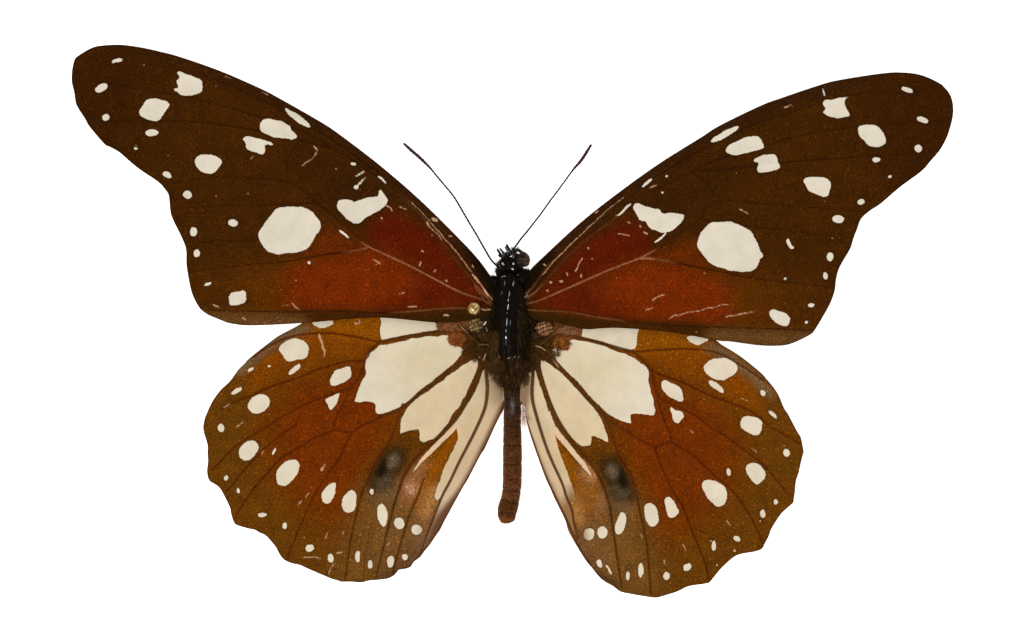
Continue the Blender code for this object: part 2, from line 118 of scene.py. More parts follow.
# Veins: half widths at the root end and the outer end, in pixels, then the places they pass
VEINS = {
    "forewing_left": [
        (0.9, 0.6, [(494, 300), (485, 291), (476, 277), (464, 261.5), (430, 222), (385, 178), (360, 160),
            (335, 142), (270, 104), (200, 75), (130, 60)]),
        (0.8, 0.6, [(494, 305), (481, 291), (425, 220), (400, 196), (372, 174), (340, 152), (300, 131),
            (262, 118), (190, 98), (92, 82)]),
        (1.1, 0.5, [(340, 152), (300, 140), (240, 128), (190, 122), (100, 122)]),
        (0.75, 0.5, [(494, 306), (481, 299), (460, 292), (410, 266), (380, 252), (362, 243), (347, 227.7),
            (314, 201), (287, 182), (218, 178), (170, 184)]),
        (0.8, 0.6, [(300, 140), (288, 160), (287, 182)]),
        (0.8, 0.5, [(313, 203), (250, 205.5), (173, 208)]),
        (1.0, 0.5, [(367, 248), (350, 251.5), (321, 255.4), (285, 261.5), (225, 267), (190, 272)]),
        (0.7, 0.4, [(262, 240), (220, 241.5), (186, 243)]),
        (0.7, 0.7, [(488, 309), (450, 308), (390, 312.8), (331, 311), (285, 312), (206, 310)]),
    ],
    "forewing_right": [
        (0.9, 0.6, [(524, 296), (533, 287), (545, 270), (558, 256), (600, 218), (625, 197), (660, 174),
            (700, 151), (740, 131), (780, 116), (850, 96), (930, 92)]),
        (0.8, 0.6, [(524, 300), (538, 290), (555, 270), (580, 245), (640, 200), (675, 180), (712, 162),
            (760, 147), (830, 130), (940, 122)]),
        (1.1, 0.5, [(690, 172), (740, 168), (790, 162), (935, 152)]),
        (0.75, 0.5, [(526, 304), (541, 300), (550, 296), (610, 269.5), (630, 262), (650, 253), (690, 226.5),
            (700, 220), (716, 202), (780, 205), (865, 212)]),
        (0.8, 0.6, [(690, 172), (708, 186), (716, 202)]), (0.8, 0.5, [(700, 220), (765, 228), (852, 238)]),
        (1.0, 0.5, [(640, 258.5), (650, 258.5), (670, 261.5), (710, 270), (730, 273), (750, 278),
            (835, 288)]),
        (0.7, 0.7, [(526, 310), (570, 312), (590, 316), (630, 321.5), (690, 326.6), (710, 327),
            (812, 330)]),
    ],
    "hindwing_left": [
        (2.2, 1.5, [(482, 344), (472, 336), (448, 331.7), (419, 334.6), (379, 342)]),
        (1.1, 1.0, [(379, 342), (350, 336), (325, 333), (293, 336), (270, 345.6), (254, 356.5)]),
        (1.2, 1.0, [(379, 342), (370, 350), (365, 360), (345, 362), (315, 370.4), (300, 377), (270, 387),
            (250, 396), (239, 400), (221, 409)]),
        (1.1, 1.0, [(365, 360), (362, 372), (353, 385), (343, 390.6), (315, 400), (285, 415), (270, 424.8),
            (256, 433), (239, 443.5), (229, 452.5), (212.5, 470)]),
        (1.0, 1.0, [(353, 386), (348, 393), (343, 404), (337, 415), (334.5, 429), (351, 433)]),
        (1.1, 1.0, [(334, 430), (312.4, 438.8), (302.7, 445.6), (285.2, 455.3), (273.6, 465),
            (267.8, 472.8), (256.2, 485.4), (249.4, 495), (240.7, 507.6), (234, 519)]),
        (0.9, 1.0, [(297, 424), (279.4, 436), (266, 447.5), (252.3, 461), (240.7, 473.7), (232, 485.4),
            (226, 492)]),
        (2.6, 1.0, [(486, 349), (466, 357.5), (458.5, 364), (420, 393.5), (400, 409), (375, 419.5),
            (360, 427), (351, 433)]),
        (1.1, 1.0, [(351, 434), (345, 445), (339, 459), (329, 472), (309.5, 504), (287, 559)]),
        (1.1, 1.0, [(402.6, 404), (390, 441), (377, 460), (369, 479), (361.5, 493.6), (351, 538),
            (344.7, 580)]),
        (2.7, 0.9, [(487, 354), (480, 368), (472, 390), (461, 410.6), (454, 420.8), (436, 439.5),
            (428, 446), (416, 458), (406, 472), (399, 488.6), (388, 527.7), (376, 578)]),
        (1.9, 1.0, [(490, 357), (486, 370), (487.4, 386), (486.2, 402), (482.9, 413.7), (472.7, 436),
            (459.4, 461.6), (449.7, 482), (440.5, 500), (420, 553)]),
        (0.9, 1.3, [(424, 478), (417, 498), (409, 516), (396, 560), (393, 573)]),
        (0.4, 0.7, [(373, 520), (368, 540), (364.5, 560), (363, 581)]),
        (1.2, 1.6, [(504, 402), (500, 416), (490, 437), (468, 479), (435, 537), (414, 562)]),
    ],
    "hindwing_right": [
        (2.2, 1.5, [(538, 344), (548, 339), (560, 335), (580, 338), (633, 352)]),
        (1.1, 1.0, [(633, 352), (680, 349), (715, 352), (745, 368), (764, 381)]),
        (1.3, 1.0, [(633, 352), (645, 362), (652, 371), (670, 378), (686, 384), (711, 396), (727, 401.5),
            (752, 412), (763, 421), (773, 428), (800, 444)]),
        (1.1, 1.0, [(652, 371), (655, 388), (660, 398), (670, 403), (691, 413), (701, 419.5), (711, 428),
            (721, 433), (755, 458), (767, 469), (790, 496)]),
        (1.0, 1.0, [(657, 392), (660, 408), (666, 424), (671, 440), (655, 448)]),
        (1.1, 1.0, [(671, 442), (692, 455), (715, 476), (730, 488), (748.5, 513), (764, 545)]),
        (2.6, 1.0, [(534, 349), (541, 352), (553, 362), (570, 378.5), (590, 401), (608, 419), (620, 427),
            (640, 440), (655, 448)]),
        (1.1, 1.0, [(655, 449.6), (660, 463.5), (674.6, 494.6), (683, 507), (691, 529), (705, 563),
            (709, 580)]),
        (1.1, 1.0, [(603, 412), (611, 432), (616, 449), (622, 462), (630.5, 473), (635, 490), (645, 534),
            (648, 556), (651, 594)]),
        (2.7, 0.9, [(533, 354), (538, 367), (541.5, 380), (548.5, 400.4), (558, 420.8), (571.6, 441),
            (589, 461.6), (597, 473), (604, 488), (610, 507), (613.4, 532), (622, 588)]),
        (1.9, 1.0, [(530, 356), (533, 370), (532, 392), (534.4, 408.6), (547.1, 449.4), (562.4, 484),
            (566.5, 497.3), (571.6, 508.6), (574, 523), (578, 539)]),
        (1.3, 1.5, [(521.4, 403.5), (529.6, 431.6), (545.2, 475.6), (566, 519.5), (580, 549.5),
            (590, 565)]),
    ],
}

# Round pale spots and streaks: place, length and width in pixels, and tilt in degrees, rising to the right
SPOTS = {
    "forewing_left": [
        (118, 60.8, 12, 3.6, 15), (102, 88, 13.5, 7.5, 30), (106.4, 117.5, 7.3, 7, 0),
        (152, 133, 13, 6.5, 0), (136, 148.8, 4, 3, 0), (167.5, 175, 10, 5.5, -30), (187.7, 195, 9, 8, 0),
        (297.5, 118, 31, 6, -36), (233.2, 223, 10, 7.5, 0), (193.8, 231.8, 7, 9, 0),
        (197, 253.5, 6, 7.5, 0), (208, 284, 8, 3, 20), (309.5, 263, 3, 3, 0), (344, 234, 13, 2.4, -39),
        (353.5, 164, 5, 3, 0), (359.5, 174, 11, 1.6, 34), (356, 187, 5, 4, 0), (361, 182, 14, 1.6, 45),
        (382, 179.5, 11, 2, -41),
    ],
    "forewing_right": [
        (907, 90, 12, 4.5, -20), (922, 120, 12, 5.5, -20), (918, 148.5, 8, 7, 0), (876, 160, 8, 5, 0),
        (889.5, 177, 4, 3, 0), (823.5, 93, 10, 1.6, -73), (861, 202, 7, 6, 0), (838, 219, 12, 8, 0),
        (724.5, 134.5, 31, 6, 29), (830, 257, 7, 9, 0), (825, 276, 5.5, 7, 0), (811, 305, 7, 4, 0),
        (806, 322.5, 3, 3, 0), (785, 279, 3.5, 2.5, 0), (624, 210, 18, 2.2, 45), (660.5, 238, 16, 2, 37),
        (647, 183, 13, 2.8, 39), (667, 176, 2.4, 2, 0), (662.5, 192.5, 2.4, 2, 0),
    ],
    "hindwing_left": [
        (294.5, 369.5, 15, 5, 40), (251, 369.5, 6, 3.2, 35), (269, 366.5, 3.6, 2, 0),
        (236.5, 391, 13, 4, 30), (221, 428, 7, 8, 0), (274, 451.7, 7.5, 2.4, 65), (226, 478, 4, 5, 0),
        (238, 491, 3.5, 5, 0), (262, 515, 8, 4.5, 0), (284.5, 525.5, 4, 7, 0), (309.5, 548.5, 8.5, 7.5, 0),
        (330.5, 558.5, 6, 9, 0), (357.5, 557, 5, 12, 0), (369.8, 564.5, 4.5, 8.5, 0),
        (371.5, 492, 3.5, 6, 0), (399, 523.5, 10.5, 12, 0), (416.5, 530, 10.5, 10, 0),
        (390.5, 562, 7, 12, -12), (404.8, 557, 6, 6.5, 0),
    ],
    "hindwing_right": [
        (716.5, 386.5, 18, 6, -38), (763, 393, 5.5, 6, 0), (773, 414.3, 12, 3.5, -40),
        (786.5, 453, 6.5, 7.5, 0), (728.5, 472, 4.5, 7, 0), (776, 502, 4.5, 6, 0), (763, 514, 5, 8.5, 0),
        (760, 521, 2, 2, 0), (737, 539, 8, 5.5, -30), (714, 546, 4.5, 9.5, 0), (711, 541, 2, 2, 0),
        (687.5, 567.5, 7.5, 7.5, 0), (666.5, 576, 6.5, 8, 0), (641, 570.5, 5, 14.5, 0), (628, 576, 4, 9, 0),
        (602.5, 532.5, 10, 12.5, 0), (589, 534.5, 11, 12, 0), (599.5, 563.5, 5, 8.5, 20),
        (609, 570, 11, 2, -60), (717, 565, 3, 2, 0), (735, 551, 3, 2, 0),
    ],
}

# Larger pale marks, as outlines
MARKS = {
    "forewing_left": [
        [(139, 113), (143, 106), (148, 99.5), (158, 99), (170, 104.5), (163, 115), (160, 120), (152, 121),
         (144, 118)],
        [(177, 72), (183, 73), (199, 79), (203, 85), (201, 92), (195, 95), (181.5, 95.4), (177.7, 92),
         (173, 90), (179, 87), (176.6, 81.5), (179.7, 77.7)],
        [(194.6, 161.5), (198.5, 156), (207.7, 154.6), (215.4, 156), (222, 161), (219, 168.5), (212, 173.4),
         (204, 173), (198.5, 169)],
        [(259.7, 125), (262, 121), (268, 119), (280, 121), (290, 126), (291, 130), (297.7, 136),
         (292, 139.5), (287.7, 138.5), (275, 137.4), (261.5, 131.5)],
        [(243, 138.5), (247, 136.5), (260, 139), (273, 143.5), (271, 145.4), (266, 144.6), (264, 154),
         (257.7, 153), (247, 149), (246, 143)],
        [(258.5, 234), (263, 226), (276, 209.5), (283, 207.3), (300, 207), (311, 211), (319.5, 221),
         (320.5, 229), (316, 235), (311, 244), (305, 250), (298, 252), (277, 254), (268, 251), (262, 244)],
        [(228.5, 297), (232, 293), (240, 291), (245, 291.5), (246.5, 296), (244, 303), (231, 305.5),
         (229.5, 301)],
        [(340, 199.5), (354, 201.5), (352, 204), (362, 199), (377.7, 196), (378.5, 191), (381.5, 190),
         (385.4, 196), (388, 201.5), (380, 210), (371.5, 214), (362, 221), (357.7, 223.5), (351.5, 222.6),
         (337.7, 209)],
    ],
    "forewing_right": [
        [(859, 126), (874.6, 125.4), (881, 130), (886, 141.5), (881, 146), (871.5, 147), (867, 144),
         (859, 135.4)],
        [(823, 102), (826, 100), (831.5, 99.7), (848, 97), (844, 101), (845.4, 107), (849.5, 115.4),
         (847, 117), (837, 118), (830, 117), (823, 113), (826, 109), (823, 106)],
        [(803, 181.5), (806, 178), (817, 177), (826, 178.5), (830.5, 183), (829.5, 191), (826, 196.6),
         (818.5, 195.4), (809, 191), (806, 185.4)],
        [(725.4, 151), (729, 145.4), (747.7, 137), (758.5, 137), (761.5, 141.5), (764, 146), (761, 149),
         (747.7, 152.6), (734, 155.4), (727, 153)],
        [(753, 161), (758.5, 157), (771.5, 154), (777, 157.7), (778, 161.5), (779.7, 166), (777.7, 169),
         (769, 171.5), (759, 173), (757, 169), (758, 163)],
        [(786, 241), (787, 238.5), (789, 239), (791, 244), (794.5, 248), (791, 249), (788, 246)],
        [(697, 244), (701, 233), (708.5, 224), (721, 222), (731.5, 222.3), (750, 231), (759, 247.7),
         (760.3, 252), (764, 255), (760, 259), (757, 266), (751.5, 271), (736, 271.5), (725.4, 269),
         (711.5, 264), (699, 250)],
        [(769, 316), (770, 311), (775, 309.5), (787, 315), (789.5, 320), (788, 325), (782, 325.5),
         (775, 322)],
        [(632.6, 207.7), (637, 203), (648.5, 207.7), (659, 209), (662, 213.4), (673, 213), (681, 214),
         (684.6, 216), (681.5, 221.5), (674.6, 228.5), (666, 233), (659, 231.5), (650, 227.7),
         (645.4, 221.5), (640, 220), (635.4, 213)],
    ],
    "hindwing_left": [
        [(312, 323), (318, 321.5), (333, 320.5), (331, 325.5), (325, 328), (318, 327)],
        [(279, 350), (282, 344), (288, 340), (296, 338.5), (303, 340.5), (308, 345.5), (309, 351),
         (306, 356.5), (301, 360), (295, 359.5), (290, 361.5), (286, 360.5), (283, 356)],
        [(330, 382), (335, 370.5), (342, 368.5), (349.5, 366), (351, 373), (349, 379), (334, 386)],
        [(325, 400), (332, 396), (340, 393), (335, 406), (330, 410), (328, 405)],
        [(248, 405), (251, 399), (258, 394.5), (265, 395), (269.5, 399), (269.5, 405), (265, 410),
         (258, 413.5), (252, 413), (248.5, 409)],
        [(239.5, 449), (243, 444.5), (250, 440.5), (256, 442.5), (258.5, 447), (256.5, 453), (252, 458),
         (246, 460.5), (240, 458)],
        [(276, 479), (276.5, 472), (281, 465), (288, 461), (295, 459.5), (299, 463), (299, 469), (295, 477),
         (290, 483), (283, 486), (278, 484)],
        [(321.5, 495), (324.5, 489), (330, 484), (334.5, 483), (336, 487), (334.5, 494), (331.5, 500),
         (327, 504.5), (323, 502)],
        [(342, 507), (342.5, 499.5), (346, 493.5), (351, 490), (355, 492), (356.5, 498), (355.5, 506),
         (352, 512), (346, 512.5)],
        [(381, 503.5), (385, 507), (387.5, 516), (386, 524), (384, 527.5), (380, 524), (377, 516),
         (378, 508)],
        [(381.7, 312), (400, 312), (419, 313), (432, 316), (437, 327.7), (435.4, 330), (400, 336),
         (384.6, 339.8), (381, 338), (380, 331), (381, 323)],
        [(380.6, 345), (390.4, 344), (419, 337.5), (440, 336), (449, 336), (448, 340.4), (450.4, 345.6),
         (460, 346.7), (463.7, 349.6), (461, 354), (456, 361), (435.4, 378.5), (421.5, 389), (409, 400.4),
         (399.6, 406.7), (388, 412), (378, 414), (375.4, 411), (375.6, 404), (367, 401.5), (357, 402),
         (355, 400), (360, 385), (365, 376), (365.6, 369), (365, 362), (368.5, 354), (375, 349.6)],
        [(470.6, 360.6), (476, 359), (478, 362), (476, 371.5), (462, 401.5), (455, 411), (449, 421),
         (441, 432), (436, 437.4), (425, 441.7), (420.4, 442), (419, 435.6), (418, 429), (402, 433),
         (399.7, 434.4), (401, 422), (404, 413), (410, 405), (419, 397), (433, 387.7), (448, 376)],
    ],
    "hindwing_right": [
        [(687, 336), (700, 337), (709, 339.5), (699.5, 344.6), (694, 344), (690, 341.5)],
        [(703.6, 367), (705, 364), (711, 360), (722.6, 357.7), (730, 359.5), (735.4, 363.6), (737.7, 368),
         (736.4, 372), (725.6, 379.5), (719.5, 380), (711, 377.4), (706, 373)],
        [(661, 384), (664, 380.5), (670, 382), (680, 388), (683, 396), (682.6, 401.5), (676.4, 400.5),
         (669, 396.4), (662.6, 389.7)],
        [(670, 407), (675.4, 409.7), (682.6, 413), (684, 417), (681, 420), (678.5, 423.6), (674.4, 421)],
        [(740, 422.6), (742, 418.5), (749, 416), (756.4, 417.4), (762, 421.5), (761.5, 428.7), (759, 434),
         (755, 435.7), (747, 432), (741, 427)],
        [(745.6, 468), (748, 464.6), (753.6, 463), (760, 465), (765, 471.5), (764.6, 478.5), (758, 484.5),
         (753.6, 482), (748.5, 476)],
        [(701.7, 485.4), (704.6, 481), (711.5, 479.6), (719.6, 483.7), (726.5, 490), (726.5, 496),
         (725, 504), (719.6, 507), (714, 504.4), (707, 497)],
        [(665, 501.5), (666, 498), (669.4, 497), (674, 501.5), (677.5, 508.5), (678.7, 512.5), (674.6, 517),
         (670.6, 518), (667.7, 515)],
        [(644.5, 507), (650.6, 503), (655.4, 507), (658, 513.5), (658.5, 522), (654, 527.5), (650, 526),
         (645.7, 520)],
        [(622, 512.5), (626, 516), (626, 524), (623, 531), (619.5, 535), (616, 533.5), (615, 528),
         (617, 520)],
        [(586, 324), (601, 323), (630, 322), (639, 324), (637, 338), (635.4, 348.5), (630, 349.6),
         (620, 349), (601, 341), (583.5, 337.5), (581.7, 334.6)],
        [(568.5, 342), (574, 340), (600, 344), (610, 349), (631, 356.5), (646, 367), (649, 373),
         (648.7, 381), (652.7, 399), (655, 410), (655.6, 414), (651, 416), (643.5, 414), (633, 413.7),
         (630, 416.5), (631, 423.5), (625, 422), (610, 415), (590, 396), (579, 383), (559, 363.5),
         (553.5, 355), (552, 353), (558, 350), (568.5, 350)],
        [(541, 361), (544, 360), (553.5, 367), (563, 375), (586, 399), (596, 411), (602, 421), (608, 437),
         (608, 442), (600, 439), (592, 435.6), (591, 445), (583, 446.5), (578, 443), (568, 433), (559, 421),
         (548, 392), (541, 369)],
    ],
}

# The pale stripes between the veins beside the abdomen, which turn pinkish brown towards the hind edge
STRIPES = {
    "hindwing_left": [
        [(485, 368), (477, 388), (469, 402), (459, 416), (452, 424), (456, 427), (457.5, 440), (450, 456),
         (443, 471), (438, 486), (434, 497), (439, 500), (449, 482), (459, 462), (468, 446), (478, 425),
         (486, 403), (487.5, 386)],
        [(458, 418), (449, 429), (426, 453), (416, 466), (412, 474), (422, 462.5), (452, 433.5),
         (458, 425)],
        [(488, 362), (497, 360), (507, 374), (508, 400), (504, 412), (484, 456), (448, 521), (436, 540),
         (427, 540), (434, 516), (440.5, 500), (459.4, 461.6), (468, 446), (478, 425), (486, 403),
         (487.5, 386)],
    ],
    "hindwing_right": [
        [(535, 370), (532.5, 385), (532, 398), (536, 415), (552, 460), (569, 498), (573, 503), (575, 497),
         (570, 480), (557.3, 445), (554.5, 431), (540, 385)],
        [(549, 410), (556, 426.5), (577, 453.5), (586, 465), (592, 478), (582, 466.5), (563, 444.5),
         (555.5, 435), (549.5, 421)],
        [(520, 362), (531, 364), (532, 385), (532, 395), (536, 415), (552, 461), (562.4, 484),
         (571.6, 508.6), (577, 535), (580, 548), (570, 548), (556, 524), (548, 508), (525, 447), (519, 429),
         (514, 408), (512, 395)],
    ],
}

# Bare scratches and flecks, tan to pale: half width in pixels, then the places they pass
SCRATCHES = {
    "forewing_left": [
        (0.6, [(302, 166), (312, 159), (318, 150), (314, 146)]), (0.6, [(373.5, 259.5), (380.5, 263.5)]),
        (0.5, [(384.7, 205), (391, 208), (392.5, 211)]), (0.4, [(398.6, 206.6), (406.5, 209)]),
        (0.3, [(411.4, 202.6), (424.3, 214.5), (437, 229.3), (449, 243.2), (461, 258), (471, 272)]),
        (0.3, [(427.3, 225.4), (437, 233.3), (443, 240.2)]), (1.3, [(432.5, 218.8), (436.5, 220.4)]),
        (1.1, [(427, 222.5), (428, 224.5)]), (0.5, [(399.5, 293.8), (404.5, 292.5)]),
        (0.45, [(283, 305), (289, 305.3)]), (0.55, [(292, 303.5), (295, 307.5), (299, 309)]),
        (0.5, [(408.5, 306.8), (416.5, 306.5)]), (0.4, [(482, 309.3), (492, 310)]),
        (0.8, [(419.6, 265.6), (421, 262.6)]), (0.6, [(434, 272), (435.2, 269.6)]),
        (0.7, [(422, 251), (423, 251.6)]), (0.7, [(446, 280), (446.8, 281)]),
        (0.6, [(472.6, 265), (473.6, 267.6)]), (0.6, [(449, 236), (452, 237)]),
        (0.9, [(444, 315), (448, 315.6)]), (0.7, [(381.5, 218), (382.2, 219)]),
        (0.6, [(250, 160), (254, 156.5)]), (0.5, [(293, 87), (298, 90)]), (0.5, [(262, 92), (268, 95)]),
        (0.5, [(225, 76.5), (232, 79.5)]), (0.8, [(243, 318), (246, 320)]), (0.7, [(214, 305), (219, 307)]),
    ],
    "forewing_right": [
        (0.5, [(582, 258.5), (578, 266), (575, 271)]), (0.7, [(588, 247.5), (588.5, 249)]),
        (0.7, [(566.5, 273), (567.6, 275)]), (1.1, [(560.5, 281.5), (562, 281)]),
        (1.0, [(550, 282), (551, 282.5)]), (0.8, [(581, 274.5), (580.5, 276.5)]),
        (0.6, [(628, 221.5), (629.5, 222.6)]), (0.45, [(617.6, 233.5), (629, 235.4)]),
        (0.9, [(644.3, 232.6), (646.5, 233.6)]), (0.6, [(640, 225.5), (640.8, 227)]),
        (0.6, [(547, 290), (548.5, 291)]),
        (0.35, [(543, 274.5), (554.4, 260.7), (566, 249.2), (577.4, 237.7)]),
        (0.28, [(577.4, 237.7), (593.5, 222.8), (607, 210.2), (623.3, 197.6)]),
        (0.6, [(650.5, 187.6), (655.8, 184.8)]), (0.6, [(652, 300.3), (657, 297.5), (663.5, 294.5)]),
        (0.5, [(646.5, 309.5), (652, 307.8)]),
        (0.55, [(669, 318.8), (675, 315.2), (678, 316), (683, 313.3)]),
        (0.45, [(683, 313.5), (692, 312), (704, 309.5), (718, 306), (732, 303.6)]),
        (0.5, [(740, 209), (748, 214)]), (0.6, [(726, 317), (752, 312)]),
        (0.8, [(544, 264.4), (545.5, 265.6)]), (0.5, [(596, 213), (598, 211)]),
        (0.6, [(700, 130), (706, 127)]), (0.5, [(784, 108), (791, 105)]),
    ],
    "hindwing_left": [
        (1.5, [(322, 470), (322.3, 469)]), (0.7, [(323, 468), (325, 464.5)]),
        (1.1, [(319.3, 334.6), (321.5, 341), (322.6, 346), (324.6, 351)]),
        (0.7, [(324.6, 351), (324, 357.5)]), (0.6, [(354, 321.5), (356, 324), (360, 323), (359, 320.5)]),
        (0.5, [(297.5, 504.5), (303, 500.5)]), (0.5, [(308.5, 493), (306, 498)]),
        (0.5, [(302.5, 557), (313, 557.5), (321, 558.6)]),
        (0.6, [(333.8, 563.5), (330, 569), (328.2, 574.7)]), (0.7, [(337, 553), (342, 552)]),
        (0.7, [(261.5, 454), (263, 451)]), (0.5, [(237, 427), (243, 422)]),
        (0.5, [(224, 407), (230, 404.5)]), (0.6, [(388.5, 543), (387.5, 546)]),
        (0.5, [(344, 532), (341.5, 535)]), (0.6, [(325, 540), (327, 533)]),
        (0.9, [(486, 353.5), (483.5, 361)]), (1.0, [(478.5, 357), (479, 357.8)]),
        (0.7, [(405.5, 486.5), (409, 489.5), (411, 494)]), (0.6, [(409, 485), (413.6, 488), (414, 496.5)]),
    ],
    "hindwing_right": [
        (0.6, [(712, 499), (715, 503)]), (0.5, [(727, 520), (731, 526)]), (0.6, [(683, 545), (686, 551)]),
        (0.5, [(752, 448), (757, 452)]), (0.5, [(741, 398), (748, 401)]), (0.5, [(690, 430), (694, 433)]),
        (0.7, [(664, 560), (665, 564)]), (0.5, [(640, 533), (642, 538)]),
        (1.2, [(553.5, 349), (556, 350.4)]), (0.7, [(536, 345.8), (541.5, 347.7), (548, 353.4)]),
        (0.5, [(548, 353.4), (558.6, 367.7)]),
    ],
}

# Colours in the photograph, red, green and blue from 0 to 255
FOREWING_GROUND = (63, 33, 5)
HINDWING_GROUND = (97, 56, 11)
FOREWING_CREAM = (219, 208, 188)
HINDWING_CREAM = (219, 206, 181)
FOREWING_VEIN = (46, 22, 5)
HINDWING_VEIN = (80, 31, 3)
SCRATCH_TONE = (206, 162, 122)
FLECK_TONE = (190, 140, 88)

# Places where a wing's colour changes, as colour, softness in millimetres and outline on the left wing,
# or on the right wing itself where the list has its name; a few are painted light: a grey highlight on the
# hindwing's pouch, and shadow on the cream beside the body
GROUND_REGIONS = {
    "forewing": [
        ((56, 28, 3), 4.0, [(60, 36), (150, 36), (150, 110), (120, 160), (60, 160)]),
        ((74, 38, 5), 3.0, [(190, 270), (270, 262), (300, 262), (285, 314), (196, 314)]),
        ((86, 43, 5), 3.0, [(240, 274), (270, 264), (300, 258), (320, 258), (300, 312), (248, 304)]),
        ((52, 28, 12), 1.2, [(505, 275), (470, 232), (340, 126), (280, 90), (200, 56), (140, 40), (140, 52),
            (200, 72), (280, 110), (340, 146), (400, 196), (450, 252), (490, 300)]),
        ((56, 29, 8), 2.4, [(292, 132), (330, 148), (365, 172), (392, 192), (380, 204), (366, 228),
            (352, 228), (330, 208), (296, 165)]),
        ((84, 24, 3), 1.2, [(388, 211), (412, 221), (441, 240), (471, 278), (486, 300), (470, 296),
            (441, 283), (412, 266), (377, 249), (366, 238), (372, 222)]),
        ((93, 38, 5), 1.4, [(321, 230), (339, 230), (362, 247), (324, 254), (309, 253)]),
        ((110, 38, 3), 1.6, [(371, 250), (306, 262), (285, 276), (286, 298), (294, 309), (382, 313),
            (456, 308), (474, 300), (441, 284), (412, 267)]),
        ((82, 24, 3), 2.0, [(430, 276), (474, 296), (480, 306), (430, 311), (380, 311), (410, 298)]),
        ((50, 31, 9), 0.7, [(280, 314), (330, 312), (400, 313), (470, 308), (498, 306), (498, 320),
            (440, 323), (400, 320), (290, 318)]),
        ((25, 16, 7), 0.9, [(468, 246), (500, 272), (508, 298), (490, 300), (483, 285), (474, 268)]),
        ((98, 65, 32), 1.0, [(200, 312), (230, 314), (300, 317), (300, 328), (250, 329), (205, 324)]),
    ],
    "hindwing": [
        ((107, 44, 4), 3.2, [(360, 358), (397, 405), (393, 430), (356, 508), (342, 530), (312, 512),
            (286, 492), (270, 452), (266, 420), (294, 382), (330, 371)]),
        ((122, 61, 6), 1.6, [(290, 326), (332, 318), (395, 312), (395, 340), (366, 348), (310, 364),
            (272, 380), (250, 390), (250, 372), (270, 345)]),
        ((135, 74, 8), 0.8, [(300, 330), (332, 318), (380, 312), (380, 340), (350, 335), (325, 332),
            (305, 333)]),
        ((108, 82, 52), 0.6, [(301, 324), (280, 333), (246, 358), (236, 372), (242, 374), (270, 351),
            (303, 334), (312, 330)]),
        ((109, 71, 29), 3.0, [(362, 498), (378, 484), (400, 470), (436, 470), (440, 500), (428, 540),
            (415, 565), (380, 584), (340, 584), (345, 545)]),
        ((115, 76, 38), 2.4, [(398, 492), (434, 492), (427, 530), (412, 556), (386, 560), (386, 518)]),
        ((88, 50, 9), 1.0, [(403, 434), (420, 441), (442, 436), (414, 468), (405, 480), (392, 478),
            (384, 468), (390, 450)]),
        ((102, 74, 44), 1.2, [(371, 486), (396, 480), (398, 494), (386, 504), (372, 502)]),
        ((52, 36, 15), 0.8, [(384, 450), (396, 445), (406, 452), (404, 466), (397, 476), (392, 486),
            (378, 491), (367, 487), (371, 472)]),
        ((78, 62, 42), 0.6, [(376, 477), (391, 474), (391, 486), (379, 489)]),
        ((30, 21, 12), 0.4, [(384, 458), (389, 463), (387, 471), (381, 478), (376, 475), (379, 465)]),
        # Painted grey highlight on the pouch
        ((98, 80, 60), 0.5, [(389, 458), (396, 454), (399, 460), (395, 467), (389, 468)]),
        ((134, 73, 8), 1.0, [(455, 428), (458, 439), (434, 491), (424, 507), (410, 502), (416, 482),
            (425, 465), (440, 448)]),
        ((146, 96, 58), 1.2, [(401, 490), (411, 471), (424, 460), (421, 478), (418, 488), (406, 500)]),
        ((160, 110, 58), 0.9, [(424, 494), (436, 486), (439, 498), (431, 516), (420, 514)]),
        ((158, 108, 72), 0.3, [(405, 485), (411, 482), (417, 486), (416, 494), (411, 498), (406, 492)]),
        ((86, 58, 38), 1.2, [(378, 578), (398, 566), (418, 548), (436, 530), (444, 545), (420, 578),
            (395, 588)]),
        ((128, 96, 70), 1.6, [(502, 425), (507, 440), (472, 505), (442, 550), (420, 565), (426, 535),
            (445, 507), (482, 449)]),
        ((66, 42, 17), 1.4, [(455, 343), (464, 333), (468, 318), (505, 316), (505, 360), (486, 374),
            (462, 352)]),
        ((132, 82, 50), 0.8, [(434, 322), (450, 318), (468, 322), (462, 332), (448, 331)]),
        ((148, 82, 36), 0.6, [(449, 335), (464, 335), (467, 345), (456, 348)]),
    ],
    "hindwing_right": [
        ((126, 78, 25), 0.6, [(583, 484), (601, 486), (600, 498), (593, 508), (584, 504)]),
        ((160, 112, 64), 0.4, [(582, 460), (592, 466), (597, 477), (590, 480), (584, 472)]),
    ],
}
